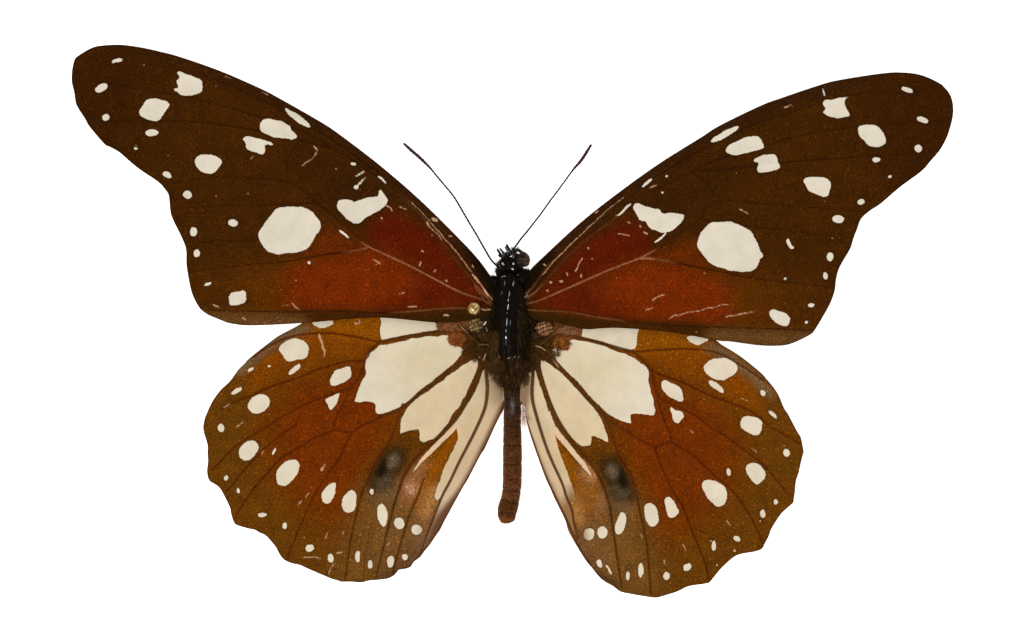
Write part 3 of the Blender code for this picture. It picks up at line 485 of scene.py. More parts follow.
CREAM_REGIONS = {
    "forewing": [],
    "hindwing": [
        ((213, 194, 155), 4.0, [(404, 348), (466, 348), (432, 380), (406, 376)]),
        ((213, 192, 155), 1.0, [(478, 355), (482, 372), (470, 400), (450, 426), (424, 446), (398, 438),
            (404, 405), (440, 378)]),
        ((204, 180, 141), 1.5, [(478, 366), (500, 366), (510, 440), (480, 490), (440, 500), (420, 460),
            (470, 400)]),
        ((207, 176, 142), 1.4, [(494, 400), (508, 400), (510, 430), (465, 510), (436, 524), (462, 464),
            (484, 425)]),
        # Painted shadow of the body on the cream beside it
        ((148, 125, 96), 1.4, [(488, 360), (508, 360), (510, 408), (499, 408), (489, 394)]),
        ((150, 108, 76), 1.0, [(432, 512), (500, 500), (500, 560), (428, 560)]),
        ((222, 184, 146), 0.5, [(408, 480), (418, 461), (436, 444), (452, 427), (461, 431), (446, 449),
            (428, 465), (414, 484)]),
        ((100, 68, 46), 0.35, [(501, 404), (512, 402), (512, 430), (440, 560), (422, 566), (424, 548),
            (437, 518), (465, 477), (497, 412)]),
    ],
    "hindwing_right": [
        # Painted shadow of the body on the cream beside it
        ((140, 113, 84), 0.4, [(515, 380), (530, 380), (529, 398), (527, 412), (530, 420), (522, 420),
            (515, 400)]),
        ((160, 124, 92), 0.3, [(519, 400), (527, 425), (536, 445), (547, 472), (562, 504), (575, 535),
            (560, 530), (540, 490), (518, 425)]),
        ((146, 106, 68), 0.8, [(561, 502), (576, 488), (588, 550), (570, 556), (556, 520)]),
    ],
}
VEIN_REGIONS = {
    "forewing": [
        ((84, 50, 24), 4.0, [(370, 205), (420, 200), (470, 245), (500, 290), (500, 300), (470, 285),
            (430, 245), (385, 225)]),
        ((112, 66, 36), 0.6, [(322, 220), (345, 236), (368, 254), (372, 264), (350, 254), (324, 234)]),
        ((150, 96, 62), 0.6, [(366, 236), (400, 253), (468, 287), (478, 298), (440, 291), (400, 274),
            (366, 256)]),
        ((126, 78, 44), 0.8, [(472, 286), (494, 290), (500, 312), (470, 303)]),
        ((104, 66, 36), 0.5, [(398, 308), (486, 305), (498, 314), (400, 315)]),
    ],
    "hindwing": [
        ((78, 47, 20), 4.0, [(380, 338), (440, 326), (500, 330), (500, 420), (470, 450), (430, 440),
            (390, 420)]),
        ((50, 31, 13), 2.0, [(468, 326), (500, 326), (500, 366), (476, 360)]),
        ((68, 38, 8), 3.0, [(340, 490), (400, 480), (436, 470), (436, 560), (380, 592), (300, 592),
            (310, 530)]),
        ((86, 50, 20), 2.0, [(500, 420), (470, 440), (400, 560), (420, 575), (450, 540), (500, 450)]),
    ],
}

# Places on the body, in millimetres; x to the right, y to the head, z up
THORAX_PROFILE = [
    (-0.36, -6.9, 3.32, 0.86, 0.8), (-0.38, -5.2, 3.75, 1.3, 1.35), (-0.4, -3.4, 4.2, 1.65, 2.0),
    (-0.4, -1.2, 4.4, 1.8, 2.3), (-0.4, 1.2, 4.4, 1.8, 2.3), (-0.38, 3.2, 4.35, 1.6, 2.0),
    (-0.3, 4.6, 4.25, 1.15, 1.45), (-0.2, 5.3, 4.2, 0.8, 1.0),
]
ABDOMEN_PROFILE = [
    (0.02, -5.2, 3.55, 1.0), (0.04, -7.0, 3.3, 0.92), (-0.01, -10.0, 2.75, 0.88), (0.0, -13.0, 2.15, 0.95),
    (-0.03, -16.0, 1.6, 0.95), (-0.13, -17.2, 1.36, 0.93), (-0.27, -18.0, 1.2, 0.96),
    (-0.48, -18.8, 1.08, 1.0), (-0.56, -19.35, 1.02, 0.95), (-0.5, -19.85, 0.96, 0.82),
    (-0.42, -20.3, 0.9, 0.6),
]
SEGMENT_PLACES = (-6.6, -8.5, -10.4, -12.3, -14.2, -15.7, -16.9, -17.95, -19.2)
# Colours along the tail, from its tip to its front
ABDOMEN_TONES = [
    (-20.3, (98, 58, 22)), (-19.3, (76, 41, 11)), (-18.3, (68, 37, 9)), (-17.5, (84, 49, 22)),
    (-15.5, (82, 46, 19)), (-14.0, (74, 42, 16)), (-12.0, (70, 38, 12)), (-10.6, (60, 35, 17)),
    (-9.3, (56, 34, 21)), (-8.2, (50, 36, 25)), (-7.0, (52, 34, 17)), (-5.0, (32, 20, 8)),
]
HEAD_LUMPS = [
    ((0.1, 5.75, 4.3), (1.32, 1.15, 1.05), (13, 9, 5)),
    ((-0.85, 5.52, 4.35), (0.7, 0.78, 0.75), (14, 10, 7)),
    ((0.38, 6.5, 4.5), (0.74, 0.84, 0.72), (16, 11, 8)), ((-0.5, 6.4, 4.3), (0.62, 0.55, 0.8), (13, 10, 6)),
    ((-1.3, 4.95, 4.45), (0.38, 0.5, 0.6), (17, 11, 12)),
]
# Eye: centre, half sizes, its dark colour and the colour of the painted light on it
EYE = ((0.86, 6.14, 4.68), (0.9, 0.9, 0.78), (20, 14, 12), (88, 64, 52))
# Black tufts before the head: their places, half width and colour
TUFTS = [
    ([(-1.0, 6.45, 4.4), (-1.33, 6.93, 4.5), (-1.53, 7.26, 4.6)], 0.11, (17, 14, 13)),
    ([(-0.85, 6.8, 4.4), (-1.1, 7.12, 4.5), (-1.28, 7.36, 4.6)], 0.085, (19, 16, 15)),
    ([(-0.84, 6.35, 4.4), (-1.1, 6.47, 4.5), (-1.43, 6.65, 4.55)], 0.1, (17, 14, 13)),
    ([(-0.2, 6.95, 4.4), (-0.45, 7.4, 4.5), (-0.64, 7.72, 4.6)], 0.12, (17, 14, 13)),
    ([(-0.5, 7.1, 4.4), (-0.64, 7.3, 4.45), (-0.76, 7.46, 4.5)], 0.07, (60, 58, 55)),
    ([(0.0, 7.0, 4.5), (0.04, 7.2, 4.6), (0.03, 7.36, 4.65)], 0.14, (18, 15, 13)),
    ([(-0.8, 6.5, 4.6), (-0.95, 6.72, 4.62), (-1.06, 6.9, 4.64)], 0.05, (120, 118, 114)),
]
SHOULDERS = [
    ((-1.75, 4.05, 5.0), (0.42, 0.5, 0.45), (20, 13, 13)),
    ((1.1, 4.4, 4.75), (0.95, 0.85, 0.5), (18, 13, 6)), ((1.65, 3.4, 4.9), (0.62, 1.0, 0.38), (22, 15, 6)),
    ((-2.5, 0.4, 4.58), (1.4, 1.8, 0.4), (44, 28, 12)), ((1.95, 0.4, 4.58), (1.25, 1.8, 0.4), (34, 22, 10)),
    ((-2.1, 3.0, 5.0), (0.5, 0.9, 0.38), (20, 14, 6)),
]
# Height at which a scale lies on the tufts, before the lumps of the head
TUFT_TOP = 4.4

# White and grey scales on the head, and one painted grey highlight among the tufts: place, length and height
# in pixels, tilt in degrees, and colour
HEAD_DOTS = [
    (518.3, 252.8, 3.2, 1.8, -22, (238, 236, 230)), (511.2, 256.3, 2.7, 1.5, 18, (220, 216, 208)),
    (502.8, 263.6, 2.2, 2.4, 30, (178, 176, 168)), (503.8, 264.8, 1.1, 1.6, 0, (150, 148, 140)),
    (513.4, 263.7, 1.5, 2.2, 10, (234, 232, 226)), (512.6, 269, 2.9, 1.6, -28, (214, 210, 200)),
    (525.6, 267.5, 5.4, 2.1, 4, (240, 236, 228)), (527.2, 267, 2.6, 2.2, 0, (240, 236, 228)),
    (502.2, 276.6, 1.9, 1.1, 30, (140, 138, 136)), (504.6, 276.2, 2.6, 1.0, -20, (126, 124, 122)),
    (518, 274.8, 2.2, 1.3, 20, (84, 84, 70)), (522, 275, 1.9, 1.3, 0, (74, 78, 62)),
    (526, 273.6, 1.6, 1.5, 0, (88, 90, 78)), (521.7, 278, 1.3, 1.3, 0, (50, 52, 44)),
    (499.4, 265.8, 1.2, 1.2, 0, (128, 128, 122)), (500.5, 268.2, 1.1, 1.2, 0, (84, 82, 78)),
    # Painted grey highlight among the tufts
    (507.5, 250.8, 1.2, 1.2, 0, (90, 88, 84)),
]
# Pale streaks on the back, in pixels: both ends, half width and colour. Some are white scales; the bluish ones
# along the ridge of the back and the arcs at its rear ring are painted glints
BACK_SCALES_AND_GLINTS = [
    ((505, 280.5), (504.2, 286), 0.5, (104, 106, 108)), ((513.8, 281), (513, 286), 0.8, (140, 140, 138)),
    ((502.3, 290.5), (501.4, 295.2), 0.5, (84, 86, 88)), ((509.7, 291), (509, 297), 0.6, (128, 132, 136)),
    ((508.4, 298.3), (508.2, 302), 0.6, (150, 156, 160)),
    ((508.5, 304), (507.6, 309.5), 0.6, (196, 204, 210)), ((507.3, 312), (507, 314), 0.3, (120, 124, 130)),
    ((507.1, 318), (506.6, 326), 0.5, (176, 184, 192)), ((510.6, 320), (510, 325.5), 0.5, (92, 98, 108)),
    ((506.2, 329), (506, 332.4), 0.5, (140, 146, 152)), ((506, 336), (506, 339), 0.9, (226, 232, 238)),
    ((506, 340), (505.8, 345), 0.4, (104, 106, 110)), ((499, 355.4), (499.8, 358.6), 0.5, (120, 118, 112)),
    ((507, 358.4), (511, 357.8), 0.6, (158, 146, 128)),
    ((514, 357.8), (515.6, 355.6), 0.5, (136, 126, 108)),
    ((517.6, 358.4), (519.2, 355.4), 0.5, (140, 128, 110)), ((512, 361.4), (517, 359.6), 0.3, (92, 82, 66)),
]
# At the wing roots, in pixels: height in millimetres, half width, colour and places of each ridge, vein and
# painted highlight
ROOT_LINES_AND_HIGHLIGHTS = [
    # Tan ridge at the left forewing root, its own tan with painted highlight along it
    (5.42, 0.7, (176, 124, 84), [(470, 271.6), (474, 276), (478.6, 281.3), (482, 286), (485, 291),
        (489, 296), (493, 300)]),
    # Painted highlight: the two brightest patches on that ridge
    (5.46, 1.3, (200, 154, 108), [(472.5, 274.5), (476.5, 279), (479.5, 283.5)]),
    (5.46, 1.1, (196, 148, 110), [(483.3, 288), (486.4, 292.8), (489.5, 296.6)]),
    (5.42, 0.45, (120, 62, 26), [(460, 262), (470, 277), (478, 289), (485, 299)]),
    (5.42, 0.4, (136, 84, 44), [(474, 285), (482, 297), (488, 304)]),
    # Ridge at the right forewing root, its own tan with painted highlight along it
    (5.42, 0.8, (150, 118, 94), [(521, 299), (524.4, 297.2), (528, 295)]),
    (5.42, 0.35, (108, 66, 36), [(528.5, 295.2), (535, 291), (541, 285.4)]),
    (5.42, 0.35, (88, 54, 26), [(526, 303), (533, 296.5), (540, 288)]),
    (5.46, 0.7, (96, 82, 66), [(519.6, 295.4), (522, 294.2)]),
    (5.0, 1.2, (70, 46, 20), [(457, 325), (463, 329.5), (469, 335), (475, 340), (481, 344.5)]),
    (5.1, 0.35, (168, 132, 94), [(459, 325.2), (463.5, 329), (468, 333.2)]),
    (5.0, 1.2, (68, 46, 20), [(566, 323.5), (560, 328), (553, 333.6), (546, 340), (539.5, 345.7)]),
    (5.1, 0.3, (138, 106, 62), [(564, 325.6), (558, 330), (551.5, 336)]),
    (4.98, 0.45, (112, 90, 52), [(478, 345.8), (484, 344.2), (490, 345.8)]),
    (4.95, 0.6, (158, 126, 92), [(535.7, 345.6), (541.4, 347.6), (546, 351)]),
    # Painted highlight: a pale streak and a grey one at the left hindwing root
    (5.3, 0.8, (214, 204, 182), [(483.6, 325.2), (486.4, 321.4)]),
    (5.2, 0.4, (126, 116, 98), [(486, 327), (487.6, 332)]),
    (4.95, 0.55, (176, 152, 118), [(486, 353.5), (483.4, 360)]),
    (5.0, 0.4, (124, 100, 56), [(490, 337), (491, 341)]),
]
# Knobs of scaly skin there: middle, half sizes, and darker and lighter colours
ROOT_KNOBS = [
    ((-3.66, -0.32, 4.92), (0.72, 0.72, 0.5), (66, 44, 18), (186, 158, 112)),
    ((3.18, -0.66, 4.92), (0.86, 0.74, 0.45), (72, 42, 18), (196, 148, 108)),
    ((-2.9, -1.3, 4.8), (0.6, 0.5, 0.3), (40, 26, 12), (92, 66, 30)),
    ((2.4, -1.4, 4.8), (0.6, 0.5, 0.3), (36, 24, 12), (80, 56, 30)),
]
# Middle lines of the antennae, and half widths of their shaft and club
ANTENNAE = {
    "antenna_left": [(-1.5, 5.5, 4.7), (-2.15, 6.19, 5.3), (-2.7, 7.1, 5.7), (-3.5, 8.5, 6.05),
                     (-4.6, 10.35, 6.3), (-5.85, 12.45, 6.6), (-7.25, 14.15, 6.8), (-8.2, 15.3, 6.88),
                     (-9.25, 16.35, 6.9), (-10.0, 17.0, 6.8), (-10.88, 17.8, 6.7)],
    "antenna_right": [(-0.1, 6.9, 4.6), (0.75, 8.15, 5.0), (1.41, 8.95, 5.4), (2.75, 10.65, 6.05),
                      (3.75, 12.05, 6.4), (4.7, 13.3, 6.65), (6.05, 15.15, 6.8), (6.9, 16.15, 6.8),
                      (7.88, 17.68, 6.62)],
}
ANTENNA_SHAFT = 0.088
ANTENNA_CLUB = 0.165
# Legs: places outwards from the thorax's middle, forwards and up, and half widths from root to foot
THORAX_X = -0.4
MIDLEG = [
    (0.9, 1.1, 1.95), (1.9, 1.9, 2.5), (3.0, 2.7, 2.9), (3.7, 3.1, 2.3), (4.3, 3.4, 0.8), (4.75, 3.6, 0.16),
    (5.9, 3.9, 0.11),
]
HINDLEG = [
    (0.9, -1.0, 1.95), (1.9, -2.3, 2.5), (3.1, -3.6, 2.9), (3.8, -4.6, 2.2), (4.4, -5.9, 0.8),
    (4.7, -6.6, 0.16), (5.1, -8.1, 0.11),
]
FORELEG = [(0.75, 3.2, 2.3), (1.0, 4.2, 2.3), (1.05, 5.1, 2.4), (0.8, 4.5, 1.75)]
LEG_RADII = [0.24, 0.26, 0.2, 0.15, 0.13, 0.11, 0.1]
FORELEG_RADII = [0.2, 0.2, 0.16, 0.12]
# Each pair of legs, with the direction that the height of its rings leans to
LEGS = [
    (MIDLEG, LEG_RADII, (0.0, 1.0, 0.02)),
    (HINDLEG, LEG_RADII, (0.0, 1.0, 0.02)),
    (FORELEG, FORELEG_RADII, (1.0, 0.0, 0.02)),
]
# Tongue: middle of its coil, radii of its outer and inner turn, turns, and half widths at root and tip
TONGUE_CENTRE = (-0.1, 6.6, 2.15)
TONGUE_RADII = (0.52, 0.2)
TONGUE_TURNS = 2.2
TONGUE_THICK = 0.06
TONGUE_TIP = 0.036
# Where the tongue leaves the head, counted from its centre
TONGUE_ROOT = (0.0, -0.42, 1.0)
# Pin: its place, radii of shank and head, and heights of the head's middle and the foot
PIN_PLACE = (-3.85, 1.3)
PIN_SHANK = 0.25
PIN_HEAD = 0.61
PIN_HEAD_Z = 6.55
PIN_FOOT_Z = 0.005
# Angle left out at the head's top, and how far under its middle the shank ends, as a share of its radius
PIN_TOP = 0.05
HEAD_JOIN = 0.93

# Hair on the body: surface, spans of x and y, count, span of lengths, lean and colour. The lean is outwards
# for each millimetre from the middle, then forwards, then up
HAIR_COATS = [
    ("thorax", (-2.3, 1.1), (-3.6, 5.3), 2600, (0.14, 0.36), (0.0, -1.4, 0.0), (22, 15, 9)),
    ("thorax", (-2.4, -1.7), (-3.6, 3.4), 520, (0.4, 0.9), (0.15, -1.2, 0.1), (40, 28, 13)),
    ("thorax", (-2.4, -1.3), (-4.6, -0.8), 520, (0.5, 1.1), (0.2, -1.4, 0.1), (84, 60, 30)),
    ("thorax", (0.7, 1.6), (-3.7, 4.0), 1000, (0.6, 1.4), (0.1, -1.6, 0.0), (36, 26, 13)),
    ("thorax", (0.5, 1.6), (-3.7, 2.4), 220, (0.8, 1.5), (0.1, -1.6, 0.1), (70, 52, 29)),
    ("thorax", (-2.1, 1.4), (-6.2, -3.3), 1100, (0.9, 2.0), (-0.45, -2.0, 0.0), (54, 35, 15)),
    ("thorax", (-2.1, 1.4), (-6.2, -3.3), 240, (0.9, 2.0), (-0.45, -2.0, 0.0), (104, 80, 48)),
    ("thorax", (-2.2, -0.9), (-5.6, -3.6), 600, (0.8, 1.5), (0.35, -1.2, 0.0), (80, 54, 29)),
    ("thorax", (0.2, 1.5), (-5.6, -3.6), 600, (0.8, 1.5), (0.7, -1.2, 0.0), (70, 48, 26)),
    ("head", (-1.8, 1.4), (4.6, 7.3), 1500, (0.1, 0.28), (0.1, 0.2, 0.5), (18, 13, 9)),
    ("head", (-1.5, 0.6), (6.3, 7.3), 150, (0.25, 0.6), (0.5, 1.4, 0.0), (96, 94, 90)),
    ("head", (-1.8, -1.0), (5.0, 6.2), 90, (0.2, 0.4), (0.8, 0.4, 0.0), (60, 58, 54)),
    ("tufts", (-2.0, 1.0), (6.0, 8.0), 420, (0.06, 0.16), (0.0, 0.3, 0.2), (21, 17, 15)),
    ("shoulders", (-2.8, 2.6), (2.5, 5.4), 1300, (0.2, 0.5), (0.1, 0.1, 0.2), (22, 16, 8)),
    ("shoulders", (-4.0, -1.0), (-1.6, 2.5), 650, (0.3, 0.8), (0.3, -1.0, 0.1), (62, 42, 22)),
    ("shoulders", (0.5, 3.3), (-1.6, 2.5), 600, (0.3, 0.8), (0.3, -1.2, 0.1), (36, 25, 11)),
]
# Scaly tufts at the wing roots, in pixels: middle, half sizes, count, span of lengths, lean and colour
ROOT_TUFTS = [
    ((479, 348), (16, 13), 520, (0.25, 0.6), (-1.0, -0.6), (86, 54, 20)),
    ((458, 338.5), (9, 7), 280, (0.2, 0.45), (-1.0, -0.5), (150, 84, 32)),
    ((452, 327), (15, 4.5), 240, (0.15, 0.35), (-1.0, 0.1), (158, 104, 64)),
    ((481, 332), (9, 9), 160, (0.2, 0.5), (-0.6, -0.8), (66, 46, 20)),
    ((469, 339), (9, 5), 150, (0.2, 0.4), (-1.0, -0.7), (104, 64, 26)),
    ((492, 362), (4.5, 8), 300, (0.4, 0.8), (-0.3, -1.0), (82, 56, 30)),
    ((545, 348), (15, 12), 480, (0.25, 0.6), (1.0, -0.6), (80, 52, 21)),
    ((561, 343.5), (9, 6), 280, (0.2, 0.45), (1.0, -0.6), (152, 88, 34)),
    ((568, 330), (9, 5), 150, (0.15, 0.35), (1.0, -0.1), (166, 116, 78)),
    ((537, 334), (7, 9), 140, (0.2, 0.5), (0.4, -1.0), (54, 38, 18)),
    ((528.5, 361), (5, 8), 320, (0.4, 0.8), (0.3, -1.0), (72, 49, 25)),
    ((526, 376), (3.5, 6), 120, (0.4, 0.8), (-0.2, -1.2), (96, 68, 42)),
    ((555.5, 350), (3, 2.4), 30, (0.12, 0.25), (0.6, -0.6), (222, 204, 178)),
    ((523, 412), (1.7, 10), 170, (0.5, 0.9), (0.28, -1.2), (222, 194, 180)),
]

# Ground, cream and vein colour of each kind of wing
WING_COLOURS = {
    "forewing": (FOREWING_GROUND, FOREWING_CREAM, FOREWING_VEIN),
    "hindwing": (HINDWING_GROUND, HINDWING_CREAM, HINDWING_VEIN),
}
# Right wings are left ones mirrored, turned by degrees and scaled, each about its hinge
RIGHT_TURNS = {"forewing": 3.6, "hindwing": 4.5}
RIGHT_SCALE = 0.986
RIGHT_HINGES = {"forewing": (1.4, 2.28), "hindwing": (1.34, -1.99)}
LEFT_HINGES = {"forewing": (-HINGE_X, 2.5), "hindwing": (-HINGE_X, -1.5)}

# Steps along, and sides round, of each kind of shape
FINE_STEPS = 8
OUTLINE_STEPS = 80
THORAX_STEPS = 90
THORAX_SIDES = 64
ABDOMEN_STEPS = 150
ABDOMEN_SIDES = 48
TUFT_STEPS = 16
ANTENNA_STEPS = 260
LEG_STEPS = 60
TONGUE_STEPS = 150
SHANK_STEPS = 20
PIN_HEAD_STEPS = 24
STREAK_STEPS = 7
TONGUE_ROOT_STEPS = 12
STREAK_SIDES = 6
ROPE_SIDES = 10
TONGUE_SIDES = 10
TUFT_SIDES = 12
LEG_SIDES = 12
ANTENNA_SIDES = 14
PIN_SIDES = 40
LUMP_RINGS = (24, 32)
KNOB_RINGS = (48, 60)
DOT_RINGS = (8, 10)

# Farthest distance, deepest layer in millimetres, least value divided by, and angle left out at a pole
FAR = 1.0e6
CLAMP = 1.0
TINY = 1.0e-9
POLE = 0.02
# Sine waves in a ripple, the span of their lengths over its period, and their shift for each angle
WAVES = 5
WAVE_SPAN = (0.7, 1.4)
WAVE_SHIFT = 7

# Wing skin, in millimetres: thickness, and more of it at a vein
SKIN = 0.07
SKIN_AT_VEIN = 0.09
# How far a vein is felt, and how wide its ridge, the rise from a trough and the even rim are
VEIN_REACH = 4.0
RIDGE_WIDTH = 0.2
TROUGH_WIDTH = 1.3
RIM_WIDTH = 0.8
# How far the edges of marks stray, a slow swell over the wing, and the width that its map takes in
# A ripple is its period in millimetres and its seed
STRAY = 0.07
STRAY_RIPPLES = ((1.3, 3), (1.3, 4))
SWELL = 0.05
SWELL_RIPPLE = (9.0, 11)
MAP_WIDTH = 100

# Noise on the wings: sizes in millimetres, depth of the ragged edges, detail, and the values that count
MOTTLE_SIZE = 1.4
RAGGED_SIZE = 0.22
RAGGED_DEPTH = 0.16
NOISE_DETAIL = 3.0
NOISE_SPAN = (0.3, 0.7)
# Flecks on the wings, in millimetres: how far apart, and radii of core and rim
GOLDEN_FLECKS = (0.3, 0.05, 0.1)
PALE_FLECKS = (0.8, 0.06, 0.12)
SPECKS = (0.9, 0.03, 0.08)
SPECK_CHANCE = 0.3
SPECK_TONE = (120, 92, 56)
# Depths in millimetres over which each layer of a wing's colour sets in
RIM_SPAN = (0.02, 0.22)
PALE_SPAN = (-0.035, 0.035)
HALO_SPAN = (-0.3, -0.05)
VEIN_SPAN = (-0.07, 0.05)
SCRATCH_SPAN = (-0.05, 0.04)
# Brightness at both ends of each span, and how much of what lies below each layer covers
MOTTLE_LIGHT = (0.9, 1.1)
CREAM_MOTTLE = (0.95, 1.04)
CREAM_GRAIN = (0.97, 1.03)
RIM_LIGHT = (0.72, 1.0)
HALO_LIGHT = (1.0, 0.86)
GOLDEN_LIGHT = 2.1
UNDERSIDE_LIGHT = 1.25
VEIN_COVER = (0.85, 0.95)
SCRATCH_COVER = 0.7
FLECK_COVER = 0.55
SPECK_COVER = 0.4
# Roughness, mirror light and bump height in millimetres of a wing, and the light its sheen adds
WING_FINISH = (0.6, 0.015)
WING_BUMP = 0.015
SHEEN = 0.0018
SHEEN_FLOOR = SHEEN / 6

# Thorax: how its ends round off, and the least share of its height at its sides
END_POWER = 8
END_LEAST = 0.02
SIDE_LEAST = 0.05
# Back of the thorax, in millimetres: its groove, its bumps and its colours from left to right
GROOVE_DEPTH = 0.12
GROOVE_X = -0.15
GROOVE_WIDTH = 0.13
THORAX_BUMPS = 0.06
THORAX_RIPPLE = (0.9, 6)
THORAX_TONES = ((15, 9, 4), (34, 22, 9))
BROWN_FROM_X = 0.4
BROWN_OVER = 0.5
# Tail, in millimetres: width of a join, and sizes of its bumps up and sideways; then how its end rounds off
JOIN_WIDTH = 0.1
TAIL_BUMPS = (0.05, 0.03)
TAIL_RIPPLES = ((1.1, 8), (0.8, 9))
TAIL_FLATNESS = 0.94
TAIL_END = 0.16
TAIL_TIP = 0.01
TAIL_LEAST = 0.05
JOIN_DEPTH = 0.05
# Painted sheen, a bluish highlight at its front: place, half sizes and colour; and how far its joins darken
# and its sides lighten
PAINTED_SHEEN_PLACE = (-0.02, -8.5)
PAINTED_SHEEN_HALF = (0.2, 0.7)
PAINTED_SHEEN_TONE = (76, 78, 78)
JOIN_SHADE = 0.45
SIDE_LIGHT = 0.5
SIDE_GLOW = 0.006
# Eye: waves of facets across it, their height as a share, and the ripple and least of the painted light across
# it
FACETS = 24
FACET_HEIGHT = 0.01
EYE_RIPPLE = (0.5, 12)
EYE_PAINTED_LIGHT = 0.4
# Half width along a tuft of the head, as shares of its length and of its half width
TUFT_SHAPE = ((0, 0.5, 0.85, 1), (1.2, 1.0, 1.0, 0.4))
# How far a streak or scale stands out, in millimetres, and the angle left out at a streak's end
STANDS_OUT = 0.16
STREAK_END = 0.3
# How far beside its place a dot feels for the lumps, and how far past a lump's edge it still counts
DOT_REACH = (-0.2, 0.0, 0.2)
BESIDE = -0.2
DOT_HALF_HEIGHT = 0.1
# Behind this place a dot lies on the thorax
NECK_Y = 4.8

# Hairs: places of their rings as shares of the length, power of their taper, and how far they bend
HAIR_RINGS = (0.0, 0.35, 0.7)
HAIR_SIDES = 3
HAIR_TAPER = 0.7
HAIR_BEND = 0.12
# Body hair: lowest root, share of the outward lean, spread of the leans, sag, depth of roots and first seed
HAIR_FROM_Z = 4.0
HAIR_OUTWARD = 0.6
HAIR_SPREAD = 0.2
HAIR_SAG = 0.25
HAIR_DEPTH = 0.05
HAIR_SEED = 20
# Tufts at the wing roots: height over the wing in millimetres, rise, sag, and spread along x, y and z
TUFT_LIFT = 0.06
TUFT_RISE = 0.12
TUFT_SAG = 0.05
TUFT_SPREAD = (0.3, 0.3, 0.09)
TUFT_SEED = 60
# Knobs at the wing roots: two ripples and their weights, how light the colour is, and how far the skin swells
KNOB_RIPPLES = ((0.42, 5), (0.9, 9))
KNOB_WEIGHTS = (0.6, 0.8)
KNOB_LIGHT = (0.3, 0.9)
KNOB_SWELL = 0.12
# Ridges and veins there: steps for each place, angle left out at an end, swelling and flatness
ROPE_STEPS = 8
ROPE_END = 0.35
ROPE_SWELL = 0.25
ROPE_RIPPLE = (0.5, 7)
ROPE_FLATNESS = 0.8
# Antennae: share of the length, and share of the club's thickness there; joints and how far they swell
CLUB = ((0, 0.05, 0.74, 0.84, 0.94, 1), (0.1, 0, 0, 0.9, 1, 0.35))
ANTENNA_JOINTS = 42
JOINT_SWELL = 0.1
ANTENNA_TONE = (36, 23, 19)
# Distance from the middle of the body, in millimetres, and brightness there
ANTENNA_LIGHT = ((6, 12, 16, 19), (0.8, 1.0, 2.0, 2.6))
# Legs and their spines: first and last step of the leg with spines and how many steps apart, and their leans
LEG_TONE = (38, 27, 20)
LEG_SWELL = 0.12
SPINE_TONE = (30, 22, 17)
SPINE_LENGTH = 0.4
SPINE_HALF = 0.025
SPINE_STEPS = (24, 58, 2)
SPINE_LEAN = (0.3, 0.3, 0.1)
SPINE_AHEAD = 4
SPINE_SEED = 5
LEG_FLOOR = 0.02
TONGUE_TONE = (34, 22, 15)
# Brass of the pin, tarnished in patches
BRASS_TONE = (218, 186, 122)
TARNISH_TONE = (140, 104, 52)
TARNISH_SIZE = 0.28
TARNISH_SPAN = (0.42, 0.6)
BRASS_FINISH = (0.36, 0.5)
BRASS_BUMP = 0.03
BRASS_METAL = 0.5

# Pieces with a tint layer: material, slot, solids replaced, roughness, mirror light, size and height of the
# bump in millimetres, and how far the colour strays
TINTED = {
    "thorax_shell": ("thorax_shell", "black_hair", ("thorax",), 0.4, 0.035, 0.3, 0.03, 0.25),
    "abdomen_skin": ("abdomen_skin", "abdomen", ("abdomen",), 0.5, 0.03, 0.22, 0.05, 0.55),
    "head_shell": ("head_shell", "black_hair", ("head",), 0.45, 0.035, 0.2, 0.03, 0.25),
    "body_hair": ("body_hair", "black_hair", (), 0.5, 0.025, 0.6, 0.0, 0.35),
    "root_tufts": ("root_tufts", "black_hair", (), 0.6, 0.03, 0.4, 0.0, 0.4),
    "wing_roots": ("wing_roots", "horn", (), 0.5, 0.03, 0.16, 0.03, 0.5),
    "antennae": ("antenna_skin", "horn", ("antenna_left", "antenna_right"), 0.5, 0.03, 0.3, 0.02, 0.25),
    "legs": ("leg_skin", "horn", ("foreleg_left", "foreleg_right", "midleg_left", "midleg_right",
                                  "hindleg_left", "hindleg_right"), 0.45, 0.35, 0.3, 0.02, 0.25),
    "proboscis_coil": ("tongue_skin", "horn", ("proboscis",), 0.4, 0.35, 0.2, 0.01, 0.25),
}

# Stage: the camera sees the whole photograph's width at the wings' height; angles are in degrees
LENS = 300
SENSOR = 36
WING_PLANE_Z = 5.6
LENS_RATIO = LENS / SENSOR
CAMERA_PLACE = (-0.05, 0.0, WING_PLANE_Z + PHOTO_WIDTH * MM_PER_PIXEL * LENS_RATIO)
CLIP_START = 0.01
LAMP_WIDTH = 25
LAMP_TILT = (24, -26, 0)
FLOOR_PAINT = (0.9, 0.9, 0.9, 1)
WHITE = (1, 1, 1, 1)


def from_photo(points):
    """Pixels of the photograph as millimetres from its middle: x to the right, y up."""
    return (np.asarray(points, float) - PHOTO_CENTRE) * (MM_PER_PIXEL, -MM_PER_PIXEL)


def linear(colour):
    """A colour of 0 to 255 as the light it stands for: the power law of sRGB, straight near black."""
    share = np.asarray(colour, float) / 255
    return np.where(share <= 0.04045, share / 12.92, ((share + 0.055) / 1.055) ** 2.4)


